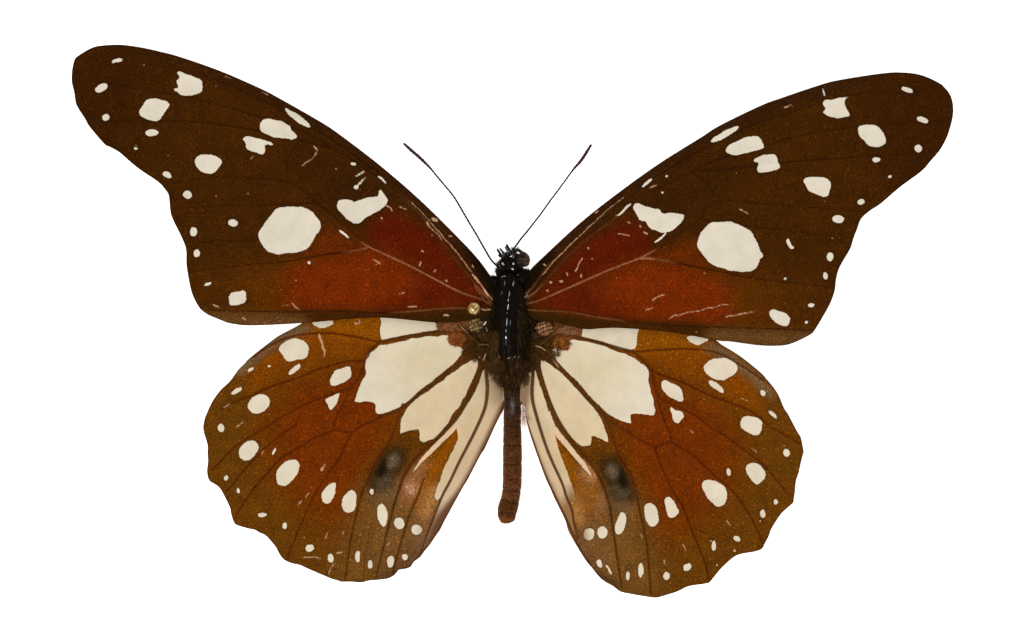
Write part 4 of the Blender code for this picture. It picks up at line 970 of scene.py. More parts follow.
def smooth_line(points, count, closed=False):
    """count points at even steps along a smooth line. Each stretch between two given points is a Catmull-Rom
    cubic, whose slope at a point is half the step between that point's two neighbours."""
    points = np.asarray(points, float)
    if closed:
        ends = np.vstack([points[-1:], points, points[:2]])
    else:
        ends = np.vstack([2 * points[:1] - points[1:2], points, 2 * points[-1:] - points[-2:-1]])
    before, start, stop, after = (ends[shift:len(ends) - 3 + shift, None, :] for shift in range(4))
    t = np.linspace(0, 1, FINE_STEPS, endpoint=False)[None, :, None]
    third = 3 * start - before - 3 * stop + after
    second = 2 * before - 5 * start + 4 * stop - after
    dense = start + 0.5 * t * (stop - before + t * (second + t * third))
    dense = np.vstack([dense.reshape(-1, points.shape[1]), stop[-1]])
    along = np.concatenate([[0], np.cumsum(np.linalg.norm(np.diff(dense, axis=0), axis=1))])
    wanted = np.linspace(0, along[-1], count)
    return np.stack([np.interp(wanted, along, column) for column in dense.T], axis=1)


def line_distance(points, line):
    """How far each point is from a line of straight steps, and what share of the line comes before the place
    nearest to it: the point is dropped square onto each step, and kept between the step's ends."""
    best = np.full(len(points), FAR)
    share = np.zeros(len(points))
    for index, (start, stop) in enumerate(zip(line[:-1], line[1:])):
        step = stop - start
        t = np.clip((points - start) @ step / max(step @ step, TINY), 0, 1)
        apart = points - start - t[:, None] * step
        distance = np.sqrt((apart * apart).sum(axis=1))
        nearer = distance < best
        best[nearer] = distance[nearer]
        share[nearer] = (index + t[nearer]) / (len(line) - 1)
    return best, share


def outline_depth(points, outline, reach):
    """How deep each point lies inside a closed outline, below nought outside it and clamped at reach: the
    distance to the outline, with its sign from the count of edges crossed by a ray to the right."""
    depth = np.full(len(points), -reach)
    near = ((points > outline.min(axis=0) - reach) & (points < outline.max(axis=0) + reach)).all(axis=1)
    close = points[near]
    if not len(close):
        return depth
    crossed = np.zeros(len(close), int)
    for start, stop in zip(outline[:-1], outline[1:]):
        spans = (start[1] > close[:, 1]) != (stop[1] > close[:, 1])
        rise = stop[1] - start[1]
        edge_x = start[0] + (close[:, 1] - start[1]) * (stop[0] - start[0]) / (rise if rise else TINY)
        crossed += spans & (edge_x > close[:, 0])
    distance = line_distance(close, outline)[0]
    depth[near] = np.clip(np.where(crossed % 2 == 1, distance, -distance), -reach, reach)
    return depth


def turned(x, y, degrees):
    """A flat place turned to the left: x is cosine times x less sine times y, y is sine times x plus cosine
    times y."""
    turn = math.radians(degrees)
    return x * math.cos(turn) - y * math.sin(turn), x * math.sin(turn) + y * math.cos(turn)


def spot_depth(points, spot):
    """How deep each point lies inside a tilted ellipse: one less the scaled radius, over its slope."""
    x, y, length, width, tilt = spot
    half = np.array([length, width]) * MM_PER_PIXEL / 2
    share = np.stack(turned(*(points - from_photo((x, y))).T, -tilt), axis=1) / half
    radius = np.linalg.norm(share, axis=1) + TINY
    slope = np.linalg.norm(share / half, axis=1) / radius + TINY
    return np.clip((1 - radius) / slope, -CLAMP, CLAMP)


def ripple(points, period, seed):
    """A smooth uneven value near nought at each point: sine waves crossing at drawn angles, summed."""
    rng = np.random.default_rng(seed)
    total = np.zeros(len(points))
    for angle in rng.uniform(0, math.tau, WAVES):
        wave = math.tau / (period * rng.uniform(*WAVE_SPAN))
        across = points[:, 0] * math.cos(angle) + points[:, 1] * math.sin(angle)
        total += np.sin(across * wave + angle * WAVE_SHIFT)
    return total / WAVES


def blended_colour(base, *sets):
    """The colour at each point, each set being places for the points and regions: the base, and each region's
    colour over it in turn, mixed in by a smooth step from outside to inside the region's soft edge. Returned
    as light."""
    colour = np.tile(linear(base), (len(sets[0][0]), 1))
    for points, regions in sets:
        for tone, softness, outline in regions:
            line = smooth_line(from_photo(outline), 4 * len(outline), closed=True)
            t = (outline_depth(points, line, softness) / softness + 1) / 2
            colour += (t * t * (3 - 2 * t))[:, None] * (linear(tone) - colour)
    return np.maximum(colour - SHEEN, SHEEN_FLOOR)


def outward(points, faces):
    """The faces turned so that they enclose a volume above nought: each face is a fan of triangles, and the
    triple products of their corners are summed."""
    total = 0.0
    for group in faces:
        for corner in range(1, group.shape[1] - 1):
            a, b, c = points[group[:, 0]], points[group[:, corner]], points[group[:, corner + 1]]
            total += np.einsum("ij,ij->", a, np.cross(b, c))
    return [group[:, ::-1] for group in faces] if total < 0 else faces


def joined(parts):
    """Several closed shapes, each its points, faces and tint, as one: their points in a row, and the faces
    counted on from the points before."""
    points, faces, tints = [], {}, []
    first = 0
    for part_points, part_faces, tint in parts:
        for group in outward(part_points, part_faces):
            faces.setdefault(group.shape[1], []).append(group + first)
        points.append(part_points)
        tints.append(np.broadcast_to(linear(tint), (len(part_points), 3)))
        first += len(part_points)
    return np.vstack(points), [np.vstack(group) for group in faces.values()], np.vstack(tints)


def make_object(name, points, faces, materials, layers, face_material=None, uv=None):
    """An object of these points, in millimetres, and faces, with a float or colour layer for each entry."""
    mesh = bpy.data.meshes.new(name)
    corners = np.concatenate([group.ravel() for group in faces])
    counts = np.concatenate([np.full(len(group), group.shape[1]) for group in faces])
    mesh.vertices.add(len(points))
    mesh.vertices.foreach_set("co", (points * MM).astype(np.float32).ravel())
    mesh.loops.add(len(corners))
    mesh.loops.foreach_set("vertex_index", corners.astype(np.int32))
    mesh.polygons.add(len(counts))
    mesh.polygons.foreach_set("loop_start", (np.cumsum(counts) - counts).astype(np.int32))
    mesh.update(calc_edges=True)
    mesh.shade_smooth()
    for key, values in layers.items():
        if values.ndim == 1:
            layer = mesh.attributes.new(key, "FLOAT", "POINT")
            layer.data.foreach_set("value", values.astype(np.float32))
        else:
            layer = mesh.attributes.new(key, "FLOAT_COLOR", "POINT")
            rgba = np.hstack([values, np.ones((len(values), 1))])
            layer.data.foreach_set("color", rgba.astype(np.float32).ravel())
    if uv is not None:
        mesh.uv_layers.new(name="UVMap").data.foreach_set("uv", uv[corners].astype(np.float32).ravel())
    for material in materials:
        mesh.materials.append(material)
    if face_material is not None:
        mesh.polygons.foreach_set("material_index", face_material.astype(np.int32))
    obj = bpy.data.objects.new(name, mesh)
    bpy.context.scene.collection.objects.link(obj)
    return obj


def keep(obj, slot, *nodes):
    """Lets the object ride on the one body, in place of the solids it stands for."""
    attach(obj, BODY)
    if nodes:
        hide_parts(*nodes)
    return obj


def tube(path, across, above, sides, reference=(0.0, 0.0, 1.0)):
    """A closed tube along a path. At each step a ring stands square to the path: cosine times the half width
    across, plus sine times the half height towards the reference. A point closes each end."""
    path = np.asarray(path, float)
    ahead = np.gradient(path, axis=0)
    ahead /= np.linalg.norm(ahead, axis=1, keepdims=True)
    side = np.cross(ahead, reference)
    side /= np.linalg.norm(side, axis=1, keepdims=True)
    up = np.cross(side, ahead)
    angle = np.arange(sides) * math.tau / sides
    wide = np.cos(angle)[None, :, None] * np.asarray(across).reshape(len(path), 1, 1)
    high = np.sin(angle)[None, :, None] * np.asarray(above).reshape(len(path), 1, 1)
    rings = path[:, None, :] + wide * side[:, None, :] + high * up[:, None, :]
    points = np.vstack([rings.reshape(-1, 3), path[:1], path[-1:]])
    index = np.arange(len(path) * sides).reshape(len(path), sides)
    after = np.roll(index, -1, axis=1)
    quads = np.stack([index[:-1], after[:-1], after[1:], index[1:]], axis=-1).reshape(-1, 4)
    first = np.full(sides, len(points) - 2)
    last = np.full(sides, len(points) - 1)
    caps = np.vstack([
        np.stack([after[0], index[0], first], axis=-1),
        np.stack([index[-1], after[-1], last], axis=-1),
    ])
    return points, [quads, caps]


def blob(centre, half, rings, sides):
    """An ellipsoid: a tube along y whose rings shrink as the sine, and step on as the cosine, of an angle."""
    angle = np.linspace(POLE, math.pi - POLE, rings)
    path = np.asarray(centre, float) + np.outer(np.cos(angle) * half[1], (0.0, 1.0, 0.0))
    return tube(path, np.sin(angle) * half[0], np.sin(angle) * half[2], sides)


def hairs(roots, leans, lengths, thick, sag, seed):
    """Tapering three-sided hairs. A hair's middle line is its root, plus its lean times its length times t,
    less a sag times t squared; its half width falls as a power of one less t, to a point."""
    rng = np.random.default_rng(seed)
    count = len(roots)
    leans = leans / np.linalg.norm(leans, axis=1, keepdims=True)
    side = np.cross(leans, rng.normal(size=(count, 3)))
    side /= np.linalg.norm(side, axis=1, keepdims=True)
    up = np.cross(side, leans)
    t = np.array(HAIR_RINGS)
    reach = lengths[:, None, None] * t[None, :, None]
    bend = rng.normal(0, HAIR_BEND, (count, 1, 3)) - np.array([0, 0, sag])
    line = roots[:, None, :] + leans[:, None, :] * reach + bend * reach * t[None, :, None]
    tip = roots + leans * lengths[:, None] + bend[:, 0] * lengths[:, None]
    width = (thick * (1 - t) ** HAIR_TAPER)[None, :, None, None]
    angle = np.arange(HAIR_SIDES) * math.tau / HAIR_SIDES
    ring = np.cos(angle)[:, None] * side[:, None, :] + np.sin(angle)[:, None] * up[:, None, :]
    body = line[:, :, None, :] + width * ring[:, None, :, :]
    points = np.concatenate([body.reshape(count, -1, 3), tip[:, None, :]], axis=1).reshape(-1, 3)
    last = HAIR_SIDES * (len(t) - 1)
    tip_index = last + HAIR_SIDES
    quads, tris = [], [(0, 2, 1)]
    for first in range(0, last, HAIR_SIDES):
        for corner in range(HAIR_SIDES):
            here = first + corner
            following = first + (corner + 1) % HAIR_SIDES
            quads.append((here, following, following + HAIR_SIDES, here + HAIR_SIDES))
    for corner in range(HAIR_SIDES):
        tris.append((last + corner, last + (corner + 1) % HAIR_SIDES, tip_index))
    offsets = (np.arange(count) * (tip_index + 1))[:, None, None]
    faces = [(np.array(group)[None] + offsets).reshape(-1, len(group[0])) for group in (quads, tris)]
    return points, faces


class Shader:
    """The nodes of one material, added one after another."""

    def __init__(self, name):
        self.material = bpy.data.materials.new(name)
        self.material.use_nodes = True
        self.tree = self.material.node_tree
        self.tree.nodes.clear()

    def node(self, kind, values=(), **settings):
        """A node with these settings, and with a value or a link for each numbered or named input."""
        made = self.tree.nodes.new(kind)
        for key, value in settings.items():
            setattr(made, key, value)
        for key, value in dict(values).items():
            if isinstance(value, bpy.types.NodeSocket):
                self.tree.links.new(value, made.inputs[key])
            else:
                made.inputs[key].default_value = value
        return made

    def math(self, operation, first, second):
        """The result of one operation on two values."""
        return self.node("ShaderNodeMath", {0: first, 1: second}, operation=operation).outputs[0]

    def times(self, first, second):
        """The product of two values."""
        return self.math("MULTIPLY", first, second)

    def layer(self, name):
        """The node that reads a layer of the mesh."""
        return self.node("ShaderNodeAttribute", attribute_name=name)

    def place(self):
        """The place on the piece, in its own coordinates."""
        return self.node("ShaderNodeTexCoord").outputs["Object"]

    def noise(self, size, detail=NOISE_DETAIL):
        """Smooth noise with features about size millimetres across, from 0 to 1."""
        values = {"Vector": self.place(), "Scale": 1 / (size * MM), "Detail": detail}
        return self.node("ShaderNodeTexNoise", values).outputs["Fac"]

    def uneven(self, noise, low, high):
        """Noise as a smooth value from low to high."""
        return self.step(noise, *NOISE_SPAN, low, high)

    def flecks(self, chance, apart, core, rim):
        """Round flecks for a share of cells about that far apart: 1 in the core, nought past the rim."""
        cells = self.node("ShaderNodeTexVoronoi", {"Vector": self.place(), "Scale": 1 / (apart * MM)})
        random = self.node("ShaderNodeSeparateColor", {0: cells.outputs["Color"]}).outputs[0]
        there = self.math("GREATER_THAN", random, 1 - chance)
        return self.times(there, self.step(cells.outputs["Distance"], core / apart, rim / apart, 1.0, 0.0))

    def step(self, value, low, high, start=0.0, stop=1.0):
        """The value's share of the way from low to high, smoothed, as a value from start to stop."""
        values = {"Value": value, "From Min": low, "From Max": high, "To Min": start, "To Max": stop}
        made = self.node("ShaderNodeMapRange", values, interpolation_type="SMOOTHSTEP")
        return made.outputs["Result"]

    def mix(self, share, first, second):
        """The first colour, with that share of the second over it."""
        return self.node("ShaderNodeMix", {0: share, 6: first, 7: second}, data_type="RGBA").outputs[2]

    def scaled(self, colour, factor):
        """The colour with red, green and blue all multiplied by the factor."""
        made = self.node("ShaderNodeVectorMath", {0: colour, "Scale": factor}, operation="SCALE")
        return made.outputs[0]

    def surface(self, colour, roughness, mirror, bump, bump_height, metallic=0.0):
        """The finish: a principled surface, with a bump that tall in millimetres."""
        inputs = {"Height": bump, "Distance": bump_height * MM, "Strength": 1.0}
        values = {
            "Base Color": colour,
            "Roughness": roughness,
            "Specular IOR Level": mirror,
            "Metallic": metallic,
            "Normal": self.node("ShaderNodeBump", inputs).outputs["Normal"],
        }
        finish = self.node("ShaderNodeBsdfPrincipled", values)
        self.node("ShaderNodeOutputMaterial", {"Surface": finish.outputs[0]})
        return self.material


def rgba(colour):
    """A colour of 0 to 255 as a socket's four numbers."""
    return (*linear(colour), 1.0)


def wing_material(name, brightness, settings):
    """Scaled wing skin: ground colour with grain and flecks, darker veins, scratches, and pale marks with a
    ragged rim. Every layer is a depth in millimetres, turned into a share by a smooth step."""
    shader = Shader(name)
    grain = shader.noise(settings.grain_size)
    mottle = shader.noise(MOTTLE_SIZE)
    uneven = shader.times(shader.uneven(grain, 1 - settings.grain, 1 + settings.grain),
                          shader.uneven(mottle, *MOTTLE_LIGHT))
    uneven = shader.times(uneven, brightness)
    ground = shader.scaled(shader.layer("ground").outputs["Color"], uneven)
    golden = shader.scaled(ground, GOLDEN_LIGHT)
    ground = shader.mix(shader.flecks(settings.golden, *GOLDEN_FLECKS), ground, golden)
    flecks = shader.times(shader.flecks(settings.flecks, *PALE_FLECKS), FLECK_COVER)
    ground = shader.mix(flecks, ground, rgba(FLECK_TONE))
    rim = shader.layer("edge").outputs["Fac"]
    ground = shader.scaled(ground, shader.step(rim, *RIM_SPAN, *RIM_LIGHT))
    ragged = shader.times(shader.math("SUBTRACT", shader.noise(RAGGED_SIZE, 2.0), 0.5), RAGGED_DEPTH)
    raw = shader.math("ADD", shader.layer("pale").outputs["Fac"], ragged)
    pale = shader.step(raw, *PALE_SPAN)
    ground = shader.scaled(ground, shader.step(raw, *HALO_SPAN, *HALO_LIGHT))
    light = shader.times(shader.uneven(mottle, *CREAM_MOTTLE), shader.uneven(grain, *CREAM_GRAIN))
    cream = shader.scaled(shader.layer("cream").outputs["Color"], light)
    specks = shader.times(shader.flecks(SPECK_CHANCE, *SPECKS), SPECK_COVER)
    colour = shader.mix(pale, ground, shader.mix(specks, cream, rgba(SPECK_TONE)))
    vein = shader.step(shader.layer("vein").outputs["Fac"], *VEIN_SPAN)
    vein = shader.times(vein, shader.step(pale, 0, 1, *VEIN_COVER))
    colour = shader.mix(vein, colour, shader.scaled(shader.layer("veins").outputs["Color"], uneven))
    bare = shader.math("ADD", shader.layer("scratch").outputs["Fac"], ragged)
    bare = shader.times(shader.step(bare, *SCRATCH_SPAN), SCRATCH_COVER)
    colour = shader.mix(bare, colour, rgba(SCRATCH_TONE))
    return shader.surface(colour, *WING_FINISH, grain, WING_BUMP)


def left_twin(points, kind, side):
    """The place on the left wing that stands for each point: a right wing is turned back and mirrored."""
    if side == "left":
        return points
    out, ahead = turned(*(points - RIGHT_HINGES[kind]).T, RIGHT_TURNS[kind])
    x, y = LEFT_HINGES[kind]
    return np.stack([x - out / RIGHT_SCALE, y + ahead / RIGHT_SCALE], axis=1)


def wing_height(points, kind):
    """A wing's height: its root's, plus a rise outwards less a curl by the square, less a droop behind."""
    out = np.abs(points[:, 0]) - HINGE_X
    root = FOREWING_ROOT_Z if kind == "forewing" else HINDWING_ROOT_Z
    height = root + WING_RISE * out - WING_CURL * out**2
    if kind == "hindwing":
        height -= HINDWING_DROOP * np.maximum(0, -points[:, 1] - DROOP_FROM) ** DROOP_POWER
    return height


def wing_grid(runs, along, across):
    """A flat grid between a wing's four sides, root to outer edge and hind to leading edge, as a Coons patch:
    the mix of the two long sides, plus the mix of the two short ones, less the mix of the four corners."""
    leading, outer, hind = (from_photo(run) for run in runs)
    outer = np.vstack([leading[-1:], outer, hind[:1]])
    front = smooth_line(leading, along)
    back = smooth_line(hind, along)[::-1]
    far = smooth_line(outer, across)[::-1]
    v = np.linspace(0, 1, across)[None, :, None]
    u = np.linspace(0, 1, along)[:, None, None]
    near = back[0] + (front[0] - back[0]) * v
    corners = ((1 - u) * (1 - v) * back[0] + (1 - u) * v * front[0]
               + u * (1 - v) * back[-1] + u * v * front[-1])
    return (1 - v) * back[:, None] + v * front[:, None] + (1 - u) * near + u * far[None] - corners


def wing_shell(top, bottom, along, across):
    """A closed thin shell's points and faces, and a 1 for each face of its lower side. The upper grid is
    whole, the lower has every second row and column, and between them the rim has five-sided faces."""
    upper = np.arange(along * across).reshape(along, across)
    half_shape = ((along + 1) // 2, (across + 1) // 2)
    lower = along * across + np.arange(math.prod(half_shape)).reshape(half_shape)
    faces = np.stack([upper[:-1, :-1], upper[1:, :-1], upper[1:, 1:], upper[:-1, 1:]], axis=-1)
    under = np.stack([lower[:-1, :-1], lower[:-1, 1:], lower[1:, 1:], lower[1:, :-1]], axis=-1)
    faces, under = faces.reshape(-1, 4), under.reshape(-1, 4)
    rims = []
    for edge, below in ((upper[:, 0], lower[:, 0]), (upper[-1], lower[-1]),
                        (upper[::-1, -1], lower[::-1, -1]), (upper[0, ::-1], lower[0, ::-1])):
        rims.append(np.stack([edge[2::2], edge[1:-1:2], edge[:-2:2], below[:-1], below[1:]], axis=-1))
    points = np.vstack([top, bottom])
    groups = [np.vstack([faces, under]), np.vstack(rims)]
    lower_side = np.concatenate([np.zeros(len(faces)), np.ones(len(under)), np.zeros(len(groups[1]))])
    return points, groups, lower_side


def deepest(points, depths):
    """The greatest of several depths at each point, and no less than the clamp below nought."""
    total = np.full(len(points), -CLAMP)
    for depth in depths:
        total = np.maximum(total, depth)
    return total


def vein_layer(flat, name, vein_width):
    """How deep each point lies inside a vein, whose half width runs evenly from root to outer end, and how far
    the nearest vein's middle is."""
    depths = []
    nearest = np.full(len(flat), VEIN_REACH)
    for root_half, outer_half, line in VEINS[name]:
        distance, share = line_distance(flat, smooth_line(from_photo(line), 3 * len(line)))
        depths.append((root_half + (outer_half - root_half) * share) * MM_PER_PIXEL * vein_width - distance)
        nearest = np.minimum(nearest, distance)
    return deepest(flat, depths), nearest


def pale_layer(warped, name):
    """How deep each point lies inside a pale spot, mark or stripe."""
    depths = [spot_depth(warped, spot) for spot in SPOTS[name]]
    for mark in MARKS[name] + STRIPES.get(name, []):
        outline = smooth_line(from_photo(mark), 3 * len(mark), closed=True)
        depths.append(outline_depth(warped, outline, CLAMP))
    return deepest(warped, depths)


def colour_layers(flat, kind, side):
    """The colours of ground, marks and veins at each point, from the left wing's regions and its own."""
    name = f"{kind}_{side}"
    twin = left_twin(flat, kind, side)
    layers = {}
    regions = (("ground", GROUND_REGIONS), ("cream", CREAM_REGIONS), ("veins", VEIN_REGIONS))
    for base, (layer, table) in zip(WING_COLOURS[kind], regions):
        layers[layer] = blended_colour(base, (twin, table[kind]), (flat, table.get(name, [])))
    return layers


def make_wing(kind, side, settings, materials):
    """One wing: a Coons grid, raised to its height, with ridges at its veins and shallow troughs between."""
    name = f"{kind}_{side}"
    runs = RUNS[name]
    length, width = (np.linalg.norm(np.diff(from_photo(run), axis=0), axis=1).sum() for run in runs[:2])
    along = 2 * int(length / settings.spacing / 2) + 1
    across = 2 * int(width / settings.spacing / 2) + 1
    flat = wing_grid(runs, along, across).reshape(-1, 2)
    outline = np.vstack([smooth_line(from_photo(run), OUTLINE_STEPS) for run in runs])
    edge = np.minimum(line_distance(flat, np.vstack([outline, outline[:1]]))[0], CLAMP)
    warped = flat + STRAY * np.stack([ripple(flat, *wave) for wave in STRAY_RIPPLES], axis=1)
    vein, nearest = vein_layer(flat, name, settings.vein_width)
    pale = pale_layer(warped, name)
    if kind == "forewing":
        vein = np.where(pale > 0, -CLAMP, vein)
    scratches = [half * MM_PER_PIXEL - line_distance(warped, from_photo(line))[0]
                 for half, line in SCRATCHES[name]]
    layers = {"edge": edge, "vein": vein, "pale": pale, "scratch": deepest(warped, scratches)}
    layers.update(colour_layers(flat, kind, side))
    ridge = np.exp(-(nearest / RIDGE_WIDTH) ** 2)
    trough = (1 - np.exp(-(nearest / TROUGH_WIDTH) ** 2)) * np.minimum(edge / RIM_WIDTH, 1)
    height = wing_height(flat, kind) + settings.ridge * ridge - settings.trough * trough
    height += SWELL * ripple(flat, *SWELL_RIPPLE)
    top = np.column_stack([flat, height])
    bottom = top - np.outer(SKIN + SKIN_AT_VEIN * ridge, (0, 0, 1))
    chosen = np.arange(along * across).reshape(along, across)[::2, ::2].ravel()
    points, groups, under = wing_shell(top, bottom[chosen], along, across)
    if side == "right":
        groups = [group[:, ::-1] for group in groups]
    layers = {key: np.concatenate([values, values[chosen]]) for key, values in layers.items()}
    uv = np.concatenate([flat, flat[chosen]]) / MAP_WIDTH + 0.5
    wing = make_object(name + "_skin", points, groups, materials, layers, under, uv)
    return keep(wing, kind, name)


def tinted_piece(name, points, faces, tints):
    """A piece coloured unevenly by its own tint layer, with a fine bump, in place of its solids."""
    material_name, slot, nodes, roughness, mirror, bump_size, bump_height, spread = TINTED[name]
    shader = Shader(material_name)
    grain = shader.noise(bump_size)
    light = shader.uneven(grain, 1 - spread, 1 + spread)
    colour = shader.scaled(shader.layer("tint").outputs["Color"], light)
    material = shader.surface(colour, roughness, mirror, grain, bump_height)
    return keep(make_object(name, points, faces, [material], {"tint": tints}), slot, *nodes)


def along_profile(rows, count):
    """A profile's rows at even steps along its middle line, as its points and its half sizes."""
    dense = smooth_line(np.asarray(rows, float)[:, [1, 0, 2, *range(3, len(rows[0]))]], count)
    return dense[:, [1, 0, 2]], dense[:, 3:]


def thorax_tube():
    """The middle of the body: a tube whose rings follow the profile, with a groove along its back."""
    path, halves = along_profile(THORAX_PROFILE, THORAX_STEPS)
    share = np.linspace(-1, 1, THORAX_STEPS)
    closing = np.sqrt(np.clip(1 - share**END_POWER, END_LEAST, 1))
    points, faces = tube(path, halves[:, 0] * closing, halves[:, 1] * closing, THORAX_SIDES)
    x = points[:, 0] - np.interp(points[:, 1], path[:, 1], path[:, 0])
    top = points[:, 2] > np.interp(points[:, 1], path[:, 1], path[:, 2])
    groove = GROOVE_DEPTH * np.exp(-((x - GROOVE_X) / GROOVE_WIDTH) ** 2)
    points[:, 2] += np.where(top, THORAX_BUMPS * ripple(points[:, :2], *THORAX_RIPPLE) - groove, 0)
    return points, outward(points, faces)


def thorax_height(x, y):
    """The height of the back at a place: its middle's, plus the half height times the root of one less the
    square of the place's share of the half width."""
    path, halves = along_profile(THORAX_PROFILE, THORAX_STEPS)
    rows = (path[:, 0], path[:, 2], *halves.T)
    middle, height, wide, high = (np.interp(y, path[:, 1], row) for row in rows)
    return height + high * np.sqrt(np.clip(1 - ((x - middle) / wide) ** 2, SIDE_LEAST, 1))


def abdomen_tube():
    """The tail: a tube along the profile, drawn in at each segment's join and swelling between. The third
    value is how near each point is to a join, from 0 to 1."""
    path, halves = along_profile(ABDOMEN_PROFILE, ABDOMEN_STEPS)
    y = path[:, 1]
    waist = np.exp(-((y[:, None] - np.array(SEGMENT_PLACES)[None]) / JOIN_WIDTH) ** 2).max(axis=1)
    closing = np.sqrt(np.clip((y - y[-1] + TAIL_TIP) / TAIL_END, TAIL_LEAST, 1))
    half = halves[:, 0] * (1 - JOIN_DEPTH * waist) * closing
    points, faces = tube(path, half, half * TAIL_FLATNESS, ABDOMEN_SIDES)
    points[:, 2] += TAIL_BUMPS[0] * ripple(points[:, :2], *TAIL_RIPPLES[0])
    points[:, 0] += TAIL_BUMPS[1] * ripple(points[:, 1:], *TAIL_RIPPLES[1])
    return points, outward(points, faces), np.append(np.repeat(waist, ABDOMEN_SIDES), (waist[0], waist[-1]))


def lumps(rows):
    """Several ellipsoids, each a centre, half sizes and colour, as parts for one piece."""
    return [(*blob(centre, half, *LUMP_RINGS), tone) for centre, half, tone in rows]


def make_thorax():
    """The middle of the body, browner on its right, its shoulders, and the pale streaks on its back, partly
    white scales and partly painted glints.
    """
    points, faces = thorax_tube()
    right = np.clip((points[:, 0] - BROWN_FROM_X) / BROWN_OVER, 0, 1)[:, None]
    parts = lumps(SHOULDERS)
    # Pale streaks: white scales, and painted glints along the ridge of the back and at its rear ring
    for start, stop, half, tone in BACK_SCALES_AND_GLINTS:
        t = np.linspace(0, 1, STREAK_STEPS)
        line = from_photo(np.outer(1 - t, start) + np.outer(t, stop))
        height = thorax_height(line[:, 0], line[:, 1]) + STANDS_OUT
        width = np.sin(np.linspace(STREAK_END, math.pi - STREAK_END, STREAK_STEPS)) * half * MM_PER_PIXEL
        parts.append((*tube(np.column_stack([line, height]), width, width, STREAK_SIDES), tone))
    more, groups, tints = joined(parts)
    black, brown = linear(THORAX_TONES)
    groups += [group + len(more) for group in faces]
    tints = np.vstack([tints, black + right * (brown - black)])
    return tinted_piece("thorax_shell", np.vstack([more, points]), groups, tints)


def make_abdomen():
    """The tail, coloured along its length, with a painted sheen near its front, darker joins and paler sides.
    """
    points, faces, waist = abdomen_tube()
    stops, tones = zip(*ABDOMEN_TONES)
    tints = np.stack([np.interp(points[:, 1], stops, column) for column in linear(tones).T], axis=1)
    # Painted sheen: a bluish highlight added to the colour near the front of the tail
    sheen = np.exp(-(((points[:, :2] - PAINTED_SHEEN_PLACE) / PAINTED_SHEEN_HALF) ** 2).sum(axis=1))[:, None]
    turn = np.arange(ABDOMEN_SIDES) * math.tau / ABDOMEN_SIDES
    beside = np.append(np.tile(np.cos(turn) ** 4, ABDOMEN_STEPS), (0, 0))
    shade = (1 - JOIN_SHADE * waist) * (1 + SIDE_LIGHT * beside)
    tints = tints * shade[:, None] + sheen * linear(PAINTED_SHEEN_TONE) + SIDE_GLOW * beside[:, None]
    return tinted_piece("abdomen_skin", points, faces, tints)


def tuft_tubes():
    """The black tufts before the head: tubes that swell a little and end round."""
    parts = []
    for rows, half, tone in TUFTS:
        path = smooth_line(rows, TUFT_STEPS)
        width = half * np.interp(np.linspace(0, 1, TUFT_STEPS), *TUFT_SHAPE)
        parts.append((*tube(path, width, width, TUFT_SIDES), tone))
    return parts


def ellipsoid_top(rows, x, y):
    """The height of the highest ellipsoid over a place: its centre's, plus its half height times the root of
    one less the squares of the place's shares of its half sizes."""
    heights = []
    for centre, half, _ in rows:
        rest = 1 - ((x - centre[0]) / half[0]) ** 2 - ((y - centre[1]) / half[1]) ** 2
        heights.append(centre[2] + half[2] * math.sqrt(max(rest, 0.0)) if rest > BESIDE else 0.0)
    return max(heights)


def make_head():
    """The head, its faceted right eye with painted light across it, the tufts before it, its small white
    patches and a painted grey highlight.
    """
    parts = lumps(HEAD_LUMPS) + tuft_tubes()
    centre, half, dark, light = EYE
    points, faces = blob(centre, half, *KNOB_RINGS)
    away = points - centre
    facets = np.cos(away[:, :2] / half[:2] * FACETS).prod(axis=1)
    # Painted light on the eye: lighter towards its outer side and along its middle, with a ripple
    lit = EYE_PAINTED_LIGHT + 0.5 * (ripple(points[:, :2], *EYE_RIPPLE) + away[:, 0] - away[:, 1] ** 2)
    tone = dark + np.clip(lit, 0, 1)[:, None] * np.subtract(light, dark)
    parts.append((centre + away * (1 + FACET_HEIGHT * facets)[:, None], faces, tone))
    domed = [*HEAD_LUMPS, EYE[:3]]
    for x, y, length, height, tilt, tone in HEAD_DOTS:
        place = from_photo((x, y))
        tops = [ellipsoid_top(domed, place[0] + shift, place[1]) for shift in DOT_REACH]
        top = max(*tops, thorax_height(*place) if place[1] < NECK_Y else TUFT_TOP)
        half = (length * MM_PER_PIXEL / 2, height * MM_PER_PIXEL / 2, DOT_HALF_HEIGHT)
        points, faces = blob((0, 0, 0), half, *DOT_RINGS)
        flat = turned(points[:, 0], points[:, 1], tilt)
        parts.append((np.column_stack([*flat, points[:, 2]]) + (*place, top + STANDS_OUT), faces, tone))
    return tinted_piece("head_shell", *joined(parts))


def scattered(points, quads, count, rng):
    """Random places on a surface, and its outward directions there. A face is drawn by its area and a place
    in it by two even shares, and the direction is the cross product of the face's diagonals."""
    a, b, c, d = (points[quads[:, corner]] for corner in range(4))
    across = np.cross(c - a, d - b)
    area = np.linalg.norm(across, axis=1)
    chosen = rng.choice(len(quads), count, p=area / area.sum())
    u, v = rng.uniform(size=(2, count, 1))
    near = (1 - v) * a[chosen] + v * d[chosen]
    far = (1 - v) * b[chosen] + v * c[chosen]
    return (1 - u) * near + u * far, across[chosen] / np.maximum(area[chosen, None], TINY)


